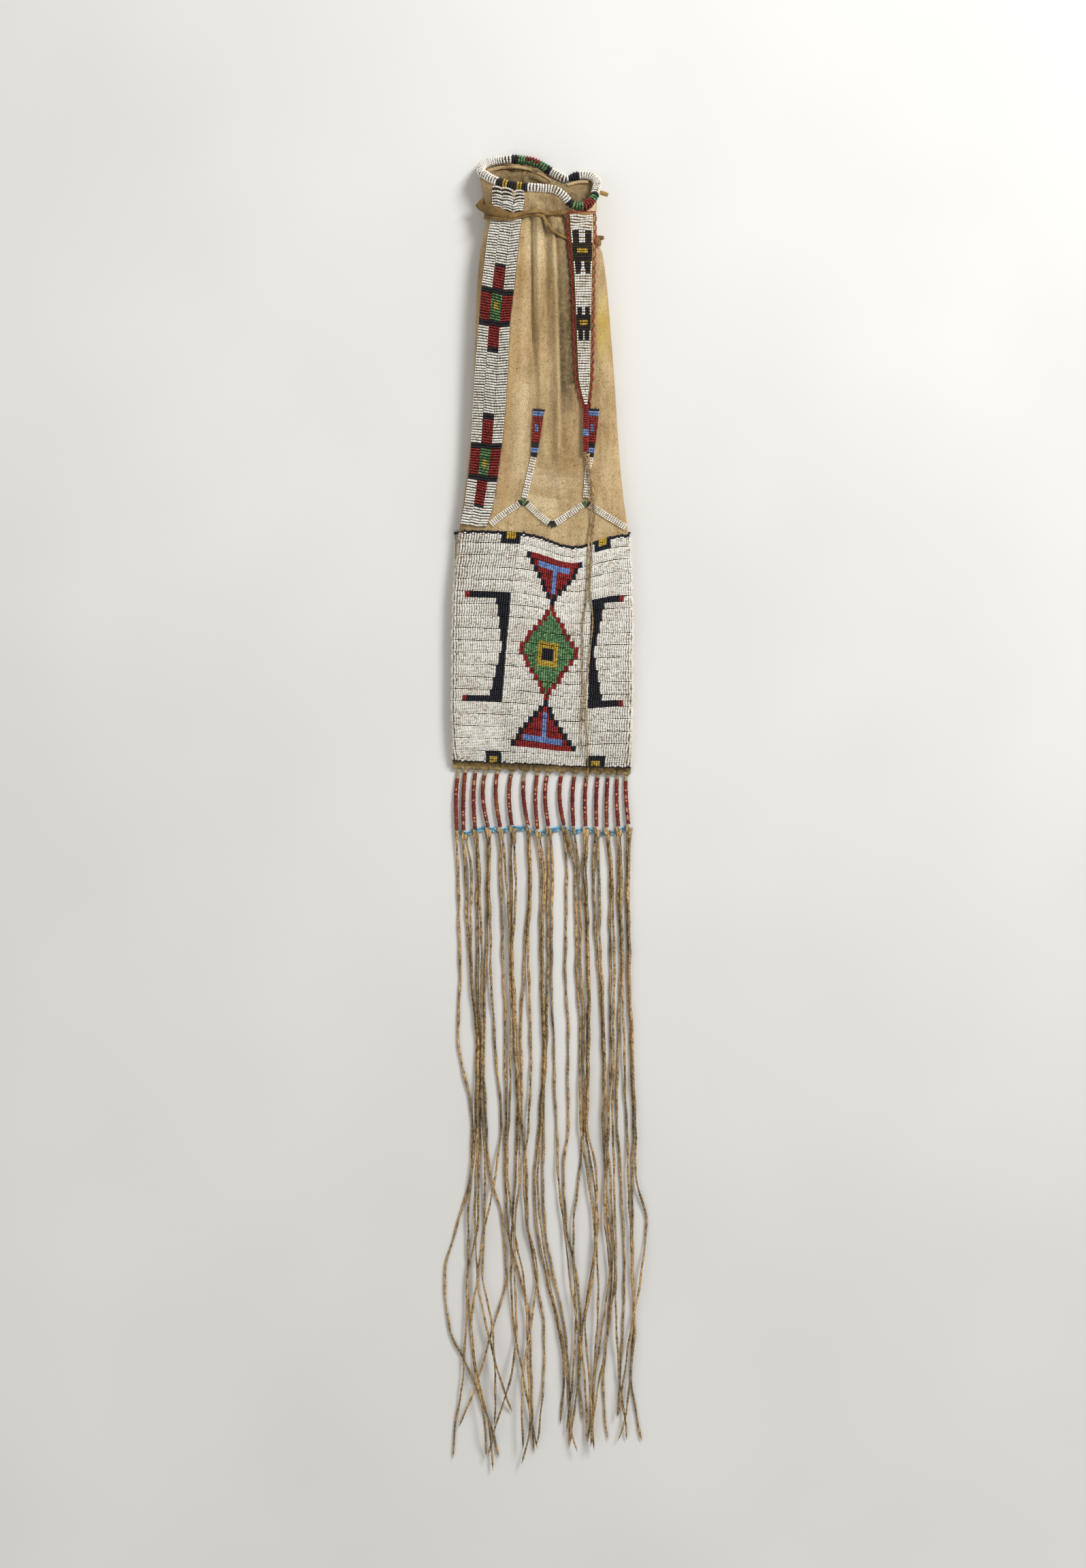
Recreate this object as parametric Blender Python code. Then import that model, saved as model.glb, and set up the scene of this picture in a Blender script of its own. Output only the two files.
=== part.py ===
# Pipe bag of tanned hide with beaded panels, quill-wrapped slats and a long twisted fringe.
# The bag lies on its back: +Z up, +Y toward the mouth, +X right. The origin is on the
# underside of the back panel. Sizes are in millimetres here and become metres in to_m.

import math

import bmesh
import bpy
from mathutils import Matrix, Vector
from mathutils.bvhtree import BVHTree

# Hide and clearances
HIDE = 1.5              # thickness of the hide
SEAT = 0.4              # play between a piece and the hide under it
TOUCH = 0.3             # play between two pieces that meet
FRONT_COUNT = 34        # points across the front of one section of the bag
BACK_COUNT = 12         # points across the back of one section
SIDE_WRAP = 1           # of these, the points each side that the front hide reaches, round the sides of the bag

# Beaded panels
LANES = 19
LANE_PITCH = 10.74
LANE_SHOULDER = 0.2     # share of a lane over which it rises from the groove
PANEL_THICK = 2.2
LANE_GROOVE = 0.9       # how much lower the beads lie between two lanes
PANEL_LEFT, PANEL_RIGHT = -78.0, 78.5   # side edges of the back panel
BACK_HEM = 1.64         # its lower edge over the front panel's, which puts the origin on the crest of a lane
SAG_DEPTH, SAG_X, SAG_WIDTH = 12.0, 27.0, 30.0   # dip of the front panel's upper border
SAG_LANES = 7.6         # lanes over which the dip fades out
TOP_Y, TOP_SLOPE = 98.4, -0.019
BOTTOM_Y, BOTTOM_SLOPE = -106.0, -0.038
BACK_TOP = BOTTOM_Y + BACK_HEM + LANES * LANE_PITCH   # upper edge of the back panel
BACK_SEAM = 1.2         # the hide starts to come down this far under that edge
FALL_HALF, FALL_END = 10.3, 35.3   # past it, where the hide is half way down, and where it is down

# Side strip and the beaded line work
STRIP_LANES = 3
STRIP_THICK = 1.9
STRIP_SEAT = 0.8        # play under the strip, which bridges the gathers
LINE_THICK = 1.6
LINE_HALF = 2.9

# Mouth
ROLL_DIAMETER = 7.8
PLEATS = 4.5            # folds across the front, counted as whole waves
STRIP_SIDE = -0.36      # left of this share of the half width, the strip keeps the hide flat

# Drop
TAB_THICK = 2.4
TIP_DIAMETER = 5.4
DROP_THONG = 1.8
THONG_STEP = 21.0       # longest straight stretch of a drop thong

# Tie
TIE_WIDTH = 3.8
TIE_THICK = 1.3

# Fringe
BAND_THICK = 2.0
BAND_DROP = 8.0         # height of the hide band under the panel, down to the notches' base line
BAND_HEM = 0.7          # how far its lower edge stays above that line at a slat
SCALLOP = 2.6           # and between two slats
SLAT_WIDTH = 3.3
SLAT_RAISE = 1.5        # how much higher a slat lies at its lower end, over the bead strings
STRING_DIAMETER = 1.4
TAIL_DIAMETER = 2.2
TAIL_GAP = 0.4          # air between two tails that cross
FLOOR_GAP = 0.4         # air under the lowest tails

# Sections of the bag, from the bottom seam to the neck: place along the bag, left edge, right edge,
# underside, height of the side edges, height of the front, squareness of the front
SECTIONS = [
    (-106.2, -78.0, 78.5, 2.7, 4.4, 6.2, 8.0),
    (-100.0, -78.4, 79.0, 2.7, 5.2, 8.6, 7.0),
    (-85.0, -78.6, 79.2, 2.7, 6.4, 11.6, 6.0),
    (-50.0, -78.8, 79.4, 2.7, 7.4, 14.0, 5.0),
    (20.0, -78.2, 79.2, 2.7, 8.0, 15.5, 5.0),
    (BACK_TOP - BACK_SEAM, -73.2, 75.8, 2.7, 8.8, 17.2, 4.2),
    (BACK_TOP + FALL_HALF, -71.4, 74.4, 1.2, 8.8, 18.0, 3.8),
    (BACK_TOP + FALL_END, -68.1, 71.1, 0.0, 9.0, 19.8, 3.2),
    (180.0, -63.4, 67.2, 0.0, 10.0, 22.4, 2.8),
    (225.0, -60.8, 64.5, 0.0, 11.0, 24.8, 2.6),
    (270.0, -59.0, 61.0, 0.0, 12.0, 26.8, 2.5),
    (312.0, -57.3, 57.6, 0.0, 13.0, 28.8, 2.4),
    (345.0, -54.4, 53.2, 0.0, 13.5, 30.0, 2.4),
]
# The neck's four upper sections are curved lines: points of place along the bag against x
NECK_LINE = [(-55, 361), (-20, 362), (20, 362), (35, 357), (52, 350)]
TIE_LINE = [(-50, 374), (-25, 374), (-10, 377), (22, 375.5), (35, 366), (48, 358)]
FRONT_EDGE = [(-58, 412), (-48, 404.5), (-38, 399.5), (-25, 396.5), (-10, 394.8), (9, 393.6),
              (16, 389.5), (22, 382.5), (30, 379.2), (39, 379.0), (45, 383.5), (50, 393)]
BACK_EDGE = [(-58, 415), (-50, 420), (-40, 422.5), (-26, 424), (-9, 422.2), (3, 415.5), (12, 409.5),
             (21, 405), (27, 408), (35, 410.5), (43, 410), (50, 402)]
NECK_SHAPE = (-51.5, 50.0, 1.2, 13.5, 29.4, 2.4)
TIE_SHAPE = (-48.6, 46.6, 2.8, 13.0, 27.6, 2.4)
FLARE_SHAPE = (-50.6, 47.6, 2.9, 13.5, 29.8, 2.4)
EDGE_SHAPE = (-55.0, 48.6, 3.6, 14.0, 32.5, 2.3)

# Pleat depth against place along the bag
PLEAT_DEPTH = [(150, 0.0), (190, 0.25), (250, 0.8), (320, 1.2), (362, 1.7), (376, 2.0), (425, 1.5)]

# Edges of the side strip against place along the bag
STRIP_EDGES = [(103.5, -71.7, -48.9), (120.3, -68.3, -43.5), (144.9, -65.1, -39.3), (175.5, -62.6, -35.1),
               (206.1, -61.2, -32.1), (236.0, -59.2, -30.2), (266.1, -57.6, -28.5), (290.0, -56.2, -26.4),
               (312.9, -54.0, -24.3), (345.0, -50.2, -20.6), (357.0, -48.0, -19.0), (369.0, -46.2, -17.9), (381.0, -44.0, -16.6),
               (391.0, -42.4, -15.6)]

# Front line work and bars: points of the centre line, each with half its width
ZIGZAG = [(-44.6, 105.2), (-33.5, 114.0), (-17.4, 124.6), (-15.2, 124.6), (-3.4, 113.4), (6.5, 105.6),
          (9.3, 104.4), (12.2, 105.8), (24.0, 113.5), (36.4, 122.2), (38.7, 123.4), (41.6, 121.9),
          (57.6, 111.6), (73.0, 102.6)]
LEFT_BAR = [(-2.7, 204.9, 5.4), (-5.1, 184.0, 4.2), (-7.2, 163.9, 3.0), (-10.2, 151.0, 2.7), (-15.4, 128.6, 2.7)]
RIGHT_BAR = [(45.3, 205.5, 5.4), (44.2, 184.0, 4.2), (42.6, 163.9, 3.0), (40.4, 151.0, 2.7), (38.7, 128.8, 2.7)]

# Drop: place along the bag, left edge and right edge of the beaded tab
TAB_EDGES = [(377.1, 22.2, 46.6), (360.0, 23.2, 46.9), (327.3, 26.1, 45.9), (291.0, 27.8, 45.2),
             (255.3, 29.1, 44.7), (231.3, 30.2, 44.2), (219.0, 33.0, 42.8), (209.5, 35.6, 41.8)]
TIP_END, TIP_X = 167.0, 38.7
THONG_LEFT = [(38.2, 166.4), (40.4, 150.9), (42.6, 132.3), (43.5, 114.3), (42.5, 101.7), (41.1, 88.5),
              (40.6, 72.9), (39.3, 42.3), (35.7, 11.7), (36.0, -26.7), (35.1, -57.3), (34.5, -80.1), (36.0, -101.0)]
THONG_RIGHT = [(40.6, 166.6), (42.9, 150.9), (45.1, 132.3), (46.2, 114.3), (45.2, 101.7), (43.8, 88.5),
               (43.4, 72.9), (42.3, 50.1), (44.7, 19.5), (42.6, -3.3), (40.5, -26.7), (38.6, -49.5),
               (39.6, -72.3), (40.2, -95.1), (40.5, -114.9), (36.6, -133.0)]

# Tie thong: its stiff start at the left, where it leaves the neck, and its loose end on the front
TIE_FLAP = [(-58.5, 386.5, 17.0), (-55.9, 381.1, 17.6)]
TIE_OFF = (-2.5, 376.0)
TIE_LOOSE_END = [(2.0, 371.6), (7.5, 364.8), (14.5, 359.4), (22.5, 356.4), (33.0, 354.0), (43.5, 353.0), (51.0, 355.4)]

# Slats: x at the top, x at the lower end, and where the lower end lies along the bag
SLATS = [(-73.5, -75.3, -165.3), (-67.5, -69.3, -165.3), (-58.5, -59.1, -164.1), (-49.5, -47.7, -162.1),
         (-39.3, -36.9, -162.3), (-26.7, -26.7, -160.7), (-15.3, -12.3, -161.0), (-3.9, -3.9, -164.0),
         (5.1, 5.7, -161.5), (17.7, 19.5, -161.0), (29.1, 27.9, -161.7), (39.9, 38.7, -161.5),
         (49.5, 48.3, -161.7), (58.5, 57.3, -162.3), (66.9, 67.6, -161.7), (74.1, 76.5, -159.7)]
STRING_WAVES = [(-75.5, -167.6), (-69.0, -168.4), (-59.0, -165.4), (-48.0, -163.6), (-37.0, -166.0), (-26.7, -163.0),
                (-12.5, -164.0), (-3.9, -168.2), (5.7, -165.6), (19.5, -163.2), (27.6, -166.4), (38.7, -163.8),
                (48.3, -167.4), (57.3, -167.6), (67.8, -165.6), (76.6, -162.6)]

# Fringe tails: x of each tail where it crosses these places along the bag, then its end
TAIL_PLACES = (-206.7, -278.7, -350.7, -422.7, -467.7, -512.7, -557.7, -602.7, -647.7, -692.7)
TAILS = {
    "01a": ((-74.5, -72.6, -73.9, -61.5, -63.1, -74.3, -86.0, -82.5, -62.5, -45.3), (-38.1, -720.2)),
    "02a": ((-67.8, -64.2, -58.2, -58.8, -62.1, -65.4, -65.6, -63.3, -56.7, -46.8), (-42.9, -731.6)),
    "02b": ((-62.5, -62.8, -56.7, -56.9, -58.4, -59.2, -57.1, -49.5, -37.1), (-26.8, -679.9)),
    "03a": ((-56.9, -57.3, -55.4, -55.0, -55.5, -57.1, -65.4, -67.5, -69.5, -77.0), (-78.4, -721.3)),
    "03b": ((-55.4, -53.5, -53.1, -52.7, -49.9, -51.5, -52.2, -44.3, -41.0), (-42.2, -691.3)),
    "04a": ((-48.1, -49.6, -51.5, -49.6, -46.0, -34.8, -31.7, -42.7, -55.7), (-73.2, -692.3)),
    "04b": ((-46.6, -45.4, -42.0, -36.2, -40.6, -50.1, -56.7, -62.5, -58.4, -50.1), (-48.9, -719.2)),
    "05a": ((-36.6, -34.3, -32.4, -32.0, -32.9, -30.9, -20.6, -10.2, -9.6, -7.9), (-7.1, -715.7)),
    "05b": ((-31.5, -28.0, -27.1, -29.5, -30.7, -25.7, -17.0, -12.9, -12.3, -10.2), (-18.5, -725.4)),
    "06a": ((-27.1, -27.1, -24.4, -21.9, -23.7, -26.1, -27.8, -24.7, -17.0, -7.7), (-4.6, -712.0)),
    "06b": ((-23.2, -25.9, -21.9, -19.8, -19.9, -23.7, -24.3, -22.2, -27.8, -41.2), (-48.4, -719.2)),
    "07a": ((-11.4, -15.6, -18.6, -17.5, -13.7, -12.3, -6.1, 1.6, 1.6, -2.4), (-4.6, -706.8)),
    "07b": ((-10.2, -12.3, -9.8, -11.4, -16.2, -12.9, -4.2, -9.6, -17.0, -17.5), (-17.0, -712.0)),
    "08a": ((-0.8, -1.4, 0.9, -2.2, -6.7, -5.5, 3.2, 13.5, 19.7), (15.6, -690.7)),
    "08b": ((2.4, 0.5, 2.4, -0.3, -3.8, -1.3, 5.7, 15.2, 22.2, 25.1), (31.1, -714.0)),
    "09a": ((5.5, 5.3, 3.9, 1.3, 1.1, 2.0, 10.4, 19.3, 23.9, 24.3), (23.9, -712.0)),
    "09b": ((9.3, 8.3, 10.1, 12.5, 14.4, 19.1, 24.5, 30.9, 37.9, 39.2), (39.4, -705.8)),
    "10a": ((22.1, 20.6, 23.1, 23.1, 19.3, 21.0, 30.5, 33.8, 32.1), (35.6, -687.8)),
    "10b": ((29.4, 30.4, 33.6, 33.8, 40.4, 45.8, 49.7, 48.7, 46.2, 43.9), (43.5, -709.9)),
    "11a": ((33.0, 34.2, 36.8, 36.6, 33.2, 28.0, 28.4, 30.1, 27.0), (21.8, -697.5)),
    "12a": ((36.8, 39.9, 39.9, 38.4, 44.1, 49.5, 42.9, 36.3, 32.5, 27.0), (24.9, -707.8)),
    "12b": ((39.1, 41.4, 41.8, 39.9, 47.8, 48.2, 44.9, 38.3, 41.4, 44.9), (45.6, -713.0)),
    "13a": ((45.5, 49.1, 53.7, 54.3, 55.3, 59.0, 61.5, 58.6, 54.4, 56.5), (58.0, -705.0)),
    "13b": ((50.2, 52.0, 55.2, 56.0, 59.8, 62.3, 64.2, 59.4, 51.1, 44.5), (42.5, -709.9)),
    "14a": ((60.2, 60.2, 60.8, 59.0, 56.5, 55.7, 59.8, 53.2, 47.0, 41.6), (40.0, -705.8)),
    "14b": ((61.7, 63.8, 63.2, 62.5, 63.5, 64.8, 65.2, 65.6, 68.5, 73.9), (74.5, -704.7)),
    "15a": ((67.5, 69.8, 67.5, 66.1, 69.7, 71.4, 73.2, 71.4, 69.3), (66.8, -683.4)),
    "15b": ((69.9, 71.1, 72.4, 74.7, 76.3, 78.0, 80.1, 81.7, 78.4, 71.4), (67.3, -705.0)),
    "16a": ((75.1, 75.9, 78.2, 80.5, 80.1, 79.7, 80.9, 80.9, 78.8, 85.4), (88.3, -706.0)),
    "16b": ((76.6, 77.4, 79.7, 82.4, 83.0, 92.1, 87.9, 79.2, 72.6), (66.2, -683.0)),
}

SHARP_ANGLE = 50.0      # degrees


# Helpers

def to_m(point):
    return Vector(point) * 0.001


def along(table, x):
    # piecewise straight line through (x, value) pairs, flat past both ends
    if x <= table[0][0]:
        return table[0][1]
    for (x0, y0), (x1, y1) in zip(table, table[1:]):
        if x <= x1:
            return y0 + (y1 - y0) * (x - x0) / (x1 - x0)
    return table[-1][1]


def material(name, colour, roughness):
    mat = bpy.data.materials.get(name)
    if mat is None:
        mat = bpy.data.materials.new(name)
        mat.use_nodes = True
        shader = mat.node_tree.nodes["Principled BSDF"]
        shader.inputs["Base Color"].default_value = (*colour, 1.0)
        shader.inputs["Roughness"].default_value = roughness
    return mat


def buckskin():
    return material("buckskin", (0.42, 0.26, 0.10), 0.9)


def white_beads():
    return material("white_beads", (0.70, 0.66, 0.58), 0.35)


def red_beads():
    return material("red_beads", (0.30, 0.02, 0.02), 0.35)


def turquoise_beads():
    return material("turquoise_beads", (0.07, 0.30, 0.50), 0.3)


def quillwork():
    return material("quillwork", (0.35, 0.05, 0.02), 0.5)


def thong():
    return material("thong", (0.25, 0.17, 0.08), 0.9)


def finish_mesh(name, bm, mat):
    bmesh.ops.recalc_face_normals(bm, faces=bm.faces[:])
    if bm.calc_volume(signed=True) < 0:
        bmesh.ops.reverse_faces(bm, faces=bm.faces[:])
    mesh = bpy.data.meshes.new(name)
    bm.to_mesh(mesh)
    bm.free()
    mesh.shade_smooth()
    mesh.set_sharp_from_angle(angle=math.radians(SHARP_ANGLE))
    obj = bpy.data.objects.new(name, mesh)
    obj.data.materials.append(mat)
    bpy.context.scene.collection.objects.link(obj)
    return obj


def loft(name, rings, mat, closed=False):
    # skins a row of rings with the same number of points; closed joins the last ring to the first
    bm = bmesh.new()
    made = [[bm.verts.new(to_m(p)) for p in ring] for ring in rings]
    pairs = list(zip(made, made[1:])) + ([(made[-1], made[0])] if closed else [])
    for a, b in pairs:
        for i in range(len(a)):
            j = (i + 1) % len(a)
            bm.faces.new((a[i], a[j], b[j], b[i]))
    if not closed:
        bm.faces.new(made[0])
        bm.faces.new(made[-1])
    return finish_mesh(name, bm, mat)


# The hide bag

def half_section(shape, front):
    # points of one half of a section, left edge to right edge, spaced evenly along the hide
    left, right, under, edge, top, square = shape
    middle, half = (left + right) / 2, (right - left) / 2
    rise = top - edge if front else under - edge
    power = 2 / (square if front else 6.0)
    fine = []
    for i in range(241):
        a = math.pi * (1 - i / 240)
        c, s = math.cos(a), math.sin(a)
        fine.append((middle + half * math.copysign(abs(c) ** power, c), edge + rise * s ** power))
    runs = [0.0]
    for p, q in zip(fine, fine[1:]):
        runs.append(runs[-1] + math.dist(p, q))
    count = FRONT_COUNT if front else BACK_COUNT
    points, k = [], 0
    for i in range(count + 1):
        want = runs[-1] * i / count
        while k < len(runs) - 2 and runs[k + 1] < want:
            k += 1
        t = (want - runs[k]) / (runs[k + 1] - runs[k])
        points.append(tuple(a + (b - a) * t for a, b in zip(fine[k], fine[k + 1])))
    return points


def full_section(shape):
    # the whole ring, over the front from the left edge and back under
    front, back = half_section(shape, True), half_section(shape, False)
    return front + back[-2:0:-1]


def ring_normals(ring):
    middle_x = sum(p[0] for p in ring) / len(ring)
    middle_z = sum(p[1] for p in ring) / len(ring)
    normals = []
    for i, p in enumerate(ring):
        before, after = ring[i - 1], ring[(i + 1) % len(ring)]
        n = Vector((before[1] - after[1], after[0] - before[0])).normalized()
        if n.dot(Vector((p[0] - middle_x, p[1] - middle_z))) < 0:
            n.negate()
        normals.append(n)
    return normals


def pleat(x, y, shape):
    # height of the gathers, measured out of the section
    left, right = shape[0], shape[1]
    across = (x - (left + right) / 2) / ((right - left) / 2)
    fade = max(0.0, 1.0 - abs(across) ** 4)
    fade *= min(1.0, max(0.0, (across - STRIP_SIDE) / 0.16))
    wave = math.cos(2 * math.pi * PLEATS * across / 2 + 0.9 + 0.5 * math.sin(3.1 * across))
    return along(PLEAT_DEPTH, y) * fade * (wave - 0.6)


def neck_y(low, high, share, x):
    return along(low, x) * (1 - share) + along(high, x) * share


def bag_rings():
    # outer rings and inner rings of the bag, as lists of (x, y, z)
    rows = []
    for y, *shape in SECTIONS:
        rows.append((shape, lambda x, s, y=y: y))
    rows[0] = (rows[0][0], lambda x, s: SECTIONS[0][0] + BOTTOM_SLOPE * x)
    rows[1] = (rows[1][0], lambda x, s: SECTIONS[1][0] + BOTTOM_SLOPE * x)
    rows.append((NECK_SHAPE, lambda x, s: along(NECK_LINE, x)))
    rows.append((TIE_SHAPE, lambda x, s: along(TIE_LINE, x)))
    rows.append((FLARE_SHAPE, lambda x, s: neck_y(TIE_LINE, BACK_EDGE if s else FRONT_EDGE, 0.45, x)))
    rows.append((EDGE_SHAPE, lambda x, s: along(BACK_EDGE if s else FRONT_EDGE, x)))
    outer, inner = [], []
    for shape, place in rows:
        ring = full_section(shape)
        normals = ring_normals(ring)
        out_ring, in_ring = [], []
        for i, (p, n) in enumerate(zip(ring, normals)):
            back = 1 if i > FRONT_COUNT else 0
            if i in (0, FRONT_COUNT):
                # at a side edge the wall's thickness lies straight across the bag
                y = (place(p[0], 0) + place(p[0], 1)) / 2
                n = Vector((1.0 if i else -1.0, 0.0))
            else:
                y = place(p[0], back)
            fold = 0.0 if back else pleat(p[0], y, shape)
            out_ring.append((p[0] + n.x * fold, y, p[1] + n.y * fold))
            depth = fold - HIDE
            in_ring.append((p[0] + n.x * depth, y, p[1] + n.y * depth))
        outer.append(out_ring)
        inner.append(in_ring)
    return outer, inner


def hide_side(name, outer, inner, first, last, draw_in):
    # one side of the pouch between two points of its sections, with both of its edges drawn in
    bm = bmesh.new()
    rows = []
    for out_ring, in_ring in zip(outer, inner):
        wall = []
        for ring in (out_ring, in_ring):
            points = [Vector(ring[i % len(ring)]) for i in range(first, last + 1)]
            for near, end in ((points[1], points[0]), (points[-2], points[-1])):
                end += (near - end).normalized() * draw_in
            wall.append(points)
        rows.append([bm.verts.new(to_m(p)) for p in wall[0] + wall[1][::-1]])
    for a, b in zip(rows, rows[1:]):
        for i in range(len(a)):
            j = (i + 1) % len(a)
            bm.faces.new((a[i], a[j], b[j], b[i]))
    for row in (rows[0], rows[-1]):
        for i in range(last - first):
            bm.faces.new((row[i], row[i + 1], row[-2 - i], row[-1 - i]))
    return finish_mesh(name, bm, buckskin())


class Hide:
    # reads places and directions off the faceted outer surface of the bag

    def __init__(self, outer):
        self.rings = [[Vector(p) for p in ring] for ring in outer]

    def column(self, u):
        count = len(self.rings[0])
        i = math.floor(u)
        t = u - i
        return [r[i % count].lerp(r[(i + 1) % count], t) for r in self.rings]

    def point(self, u, y):
        points = self.column(u)
        for a, b in zip(points, points[1:]):
            if y <= b.y or b is points[-1]:
                return a.lerp(b, (y - a.y) / (b.y - a.y))

    def normal(self, u, y):
        before, after = u - 0.5, u + 0.5
        if 0 < u < FRONT_COUNT:
            before, after = max(before, 0), min(after, FRONT_COUNT)
        across = self.point(after, y) - self.point(before, y)
        ahead = self.point(u, y + 3) - self.point(u, y - 3)
        n = across.cross(ahead).normalized()
        inside = Vector((0, y, self.point(0, y).z))
        return -n if n.dot(self.point(u, y) - inside) < 0 else n

    def u_at(self, x, y):
        low, high = -1.0, FRONT_COUNT + 1.0
        for _ in range(40):
            u = (low + high) / 2
            if self.point(u, y).x < x:
                low = u
            else:
                high = u
        return low

    def lifted(self, u, y, height):
        return self.point(u, y) + self.normal(u, y) * height


# Beaded panels

def lane_lines(count):
    # positions of the lines that shape the lanes, as (lane position, height over the groove)
    lines = []
    for lane in range(count):
        lines += [(lane, 0.0), (lane + LANE_SHOULDER, 1.0), (lane + 1 - LANE_SHOULDER, 1.0)]
    return lines + [(count, 0.0)]


def panel_y(position, x):
    # place along the bag of a lane line of the front panel, counted from its top
    straight = TOP_Y + TOP_SLOPE * x
    bottom = BOTTOM_Y + BOTTOM_SLOPE * x
    dip = SAG_DEPTH * math.exp(-((x - SAG_X) / SAG_WIDTH) ** 2) * max(0.0, 1 - position / SAG_LANES)
    return straight + (bottom - straight) * position / LANES - dip


def front_panel(hide):
    # its columns stand on columns of the bag, closer together at the rounded edges
    edge_in = 0.15
    columns = [edge_in, 1, 2, 3, 6, 12, 17, 21, 25, 28]
    columns += [FRONT_COUNT - u for u in (3, 2, 1, edge_in)]
    rings = []
    for u in columns:
        x = hide.point(u, 0).x
        rest = SEAT + 0.4
        rows = [y for y, *_ in SECTIONS[2:5]][::-1] + [SECTIONS[1][0] + BOTTOM_SLOPE * x]
        under = [hide.lifted(u, y, rest) for y in [panel_y(0, x)] + rows + [panel_y(LANES, x)]]
        top = [hide.lifted(u, panel_y(p, x), rest + PANEL_THICK - LANE_GROOVE * (1 - crown))
               for p, crown in lane_lines(LANES)]
        rings.append(top + under[::-1])
    return loft("front_panel", rings, white_beads())


def back_panel():
    # lanes with flat crests, so the bag rests on them
    rings = []
    for x in (PANEL_LEFT, PANEL_RIGHT):
        places = [(BACK_TOP - LANE_PITCH * p + BOTTOM_SLOPE * x * p / LANES, crown) for p, crown in lane_lines(LANES)]
        ring = [(x, y, LANE_GROOVE * (1 - crown)) for y, crown in places]
        ring += [(x, places[-1][0], PANEL_THICK), (x, BACK_TOP, PANEL_THICK)]
        rings.append(ring)
    return loft("back_panel", rings, white_beads())


def strip_sides(y):
    # left and right edge of the side strip at one place along the bag
    rows = STRIP_EDGES
    return along([(row[0], row[1]) for row in rows], y), along([(row[0], row[2]) for row in rows], y)


def side_strip(hide):
    # three lanes up the left side, from the panel to above the tie
    rings = []
    for y, left, right in STRIP_EDGES:
        u_left, u_right = hide.u_at(left, y), hide.u_at(right, y)
        top, under = [], []
        for position, crown in lane_lines(STRIP_LANES):
            u = u_left + (u_right - u_left) * position / STRIP_LANES
            under.append(hide.lifted(u, y, STRIP_SEAT))
            top.append(hide.lifted(u, y, STRIP_SEAT + STRIP_THICK - LANE_GROOVE * (1 - crown)))
        rings.append(top + under[::-1])
    return loft("side_strip", rings, white_beads())


# Pieces that lie on the front

class Probe:
    # height of whatever is uppermost among some finished pieces

    def __init__(self, *objects):
        self.trees = []
        self.ceiling = 0.0
        for obj in objects:
            bm = bmesh.new()
            bm.from_mesh(obj.data)
            bm.transform(Matrix.Translation(obj.location))
            self.ceiling = max([self.ceiling] + [v.co.z for v in bm.verts])
            self.trees.append(BVHTree.FromBMesh(bm))
            bm.free()

    def top(self, x, y):
        best = 0.0
        start = to_m((x, y, 0)) + Vector((0, 0, self.ceiling * 2))
        for tree in self.trees:
            hit = tree.ray_cast(start, Vector((0, 0, -1)))[0]
            if hit is not None:
                best = max(best, hit.z * 1000)
        return best

    def highest(self, x, y, reach_x, reach_y):
        steps = (-1, -0.5, 0, 0.5, 1)
        return max(self.top(x + i * reach_x, y + j * reach_y) for i in steps for j in steps)


def dense(line, step):
    # adds points to a line so that none is further than step from the next
    out = [tuple(line[0])]
    for a, b in zip(line, line[1:]):
        parts = max(1, math.ceil(math.dist(a[:2], b[:2]) / step))
        for i in range(1, parts + 1):
            out.append(tuple(p + (q - p) * i / parts for p, q in zip(a, b)))
    return out


def laid_line(name, line, thick, probe, mat, step=9.0):
    # a beaded line laid on the front: rounded top, flat underside, each point (x, y, half width)
    line = dense(line, step)
    rings = []
    for i, (x, y, half) in enumerate(line):
        a, b = line[max(0, i - 1)], line[min(len(line) - 1, i + 1)]
        ahead = Vector((b[0] - a[0], b[1] - a[1], 0)).normalized()
        side = Vector((-ahead.y, ahead.x, 0))
        spots = [(x + side.x * half * s + ahead.x * t, y + side.y * half * s + ahead.y * t)
                 for s in (-1, -0.5, 0, 0.5, 1) for t in (-step / 2, 0, step / 2)]
        base = max(probe.top(*p) for p in spots) + SEAT
        here = Vector((x, y, base))
        shape = ((-1, 0), (1, 0), (1, 0.5), (0.5, 1), (-0.5, 1), (-1, 0.5))
        rings.append([here + side * half * s + Vector((0, 0, thick * h)) for s, h in shape])
    return loft(name, rings, mat)


def with_width(points, half):
    return [(x, y, half) for x, y in points]


def tube(name, points, diameter, mat):
    curve = bpy.data.curves.new(name, "CURVE")
    curve.dimensions = "3D"
    curve.bevel_depth = diameter / 2 * 0.001
    curve.bevel_resolution = 1
    curve.use_fill_caps = True
    spline = curve.splines.new("POLY")
    spline.points.add(len(points) - 1)
    for spot, p in zip(spline.points, points):
        spot.co = (*to_m(p), 1.0)
    obj = bpy.data.objects.new(name, curve)
    curve.materials.append(mat)
    bpy.context.scene.collection.objects.link(obj)
    return obj


def drop_tab(probe):
    # stiff beaded hide tab that hangs from the rim over the front
    rings = []
    for i, (y, left, right) in enumerate(TAB_EDGES):
        next_y = TAB_EDGES[min(i + 1, len(TAB_EDGES) - 1)][0]
        last_y = TAB_EDGES[max(i - 1, 0)][0]
        rows = [y + (next_y - y) * t for t in (0, 0.25, 0.5)] + [y + (last_y - y) * t for t in (0.25, 0.5)]
        base = max(probe.highest((left + right) / 2, row, (right - left) / 2, 2.0) for row in rows) + SEAT
        width = right - left
        shape = ((0, 0), (1, 0), (1, 0.7), (0.9, 1), (0.5, 1.1), (0.1, 1), (0, 0.7))
        rings.append([(left + width * s, y, base + TAB_THICK * h) for s, h in shape])
    return loft("drop_tab", rings, white_beads())


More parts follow.
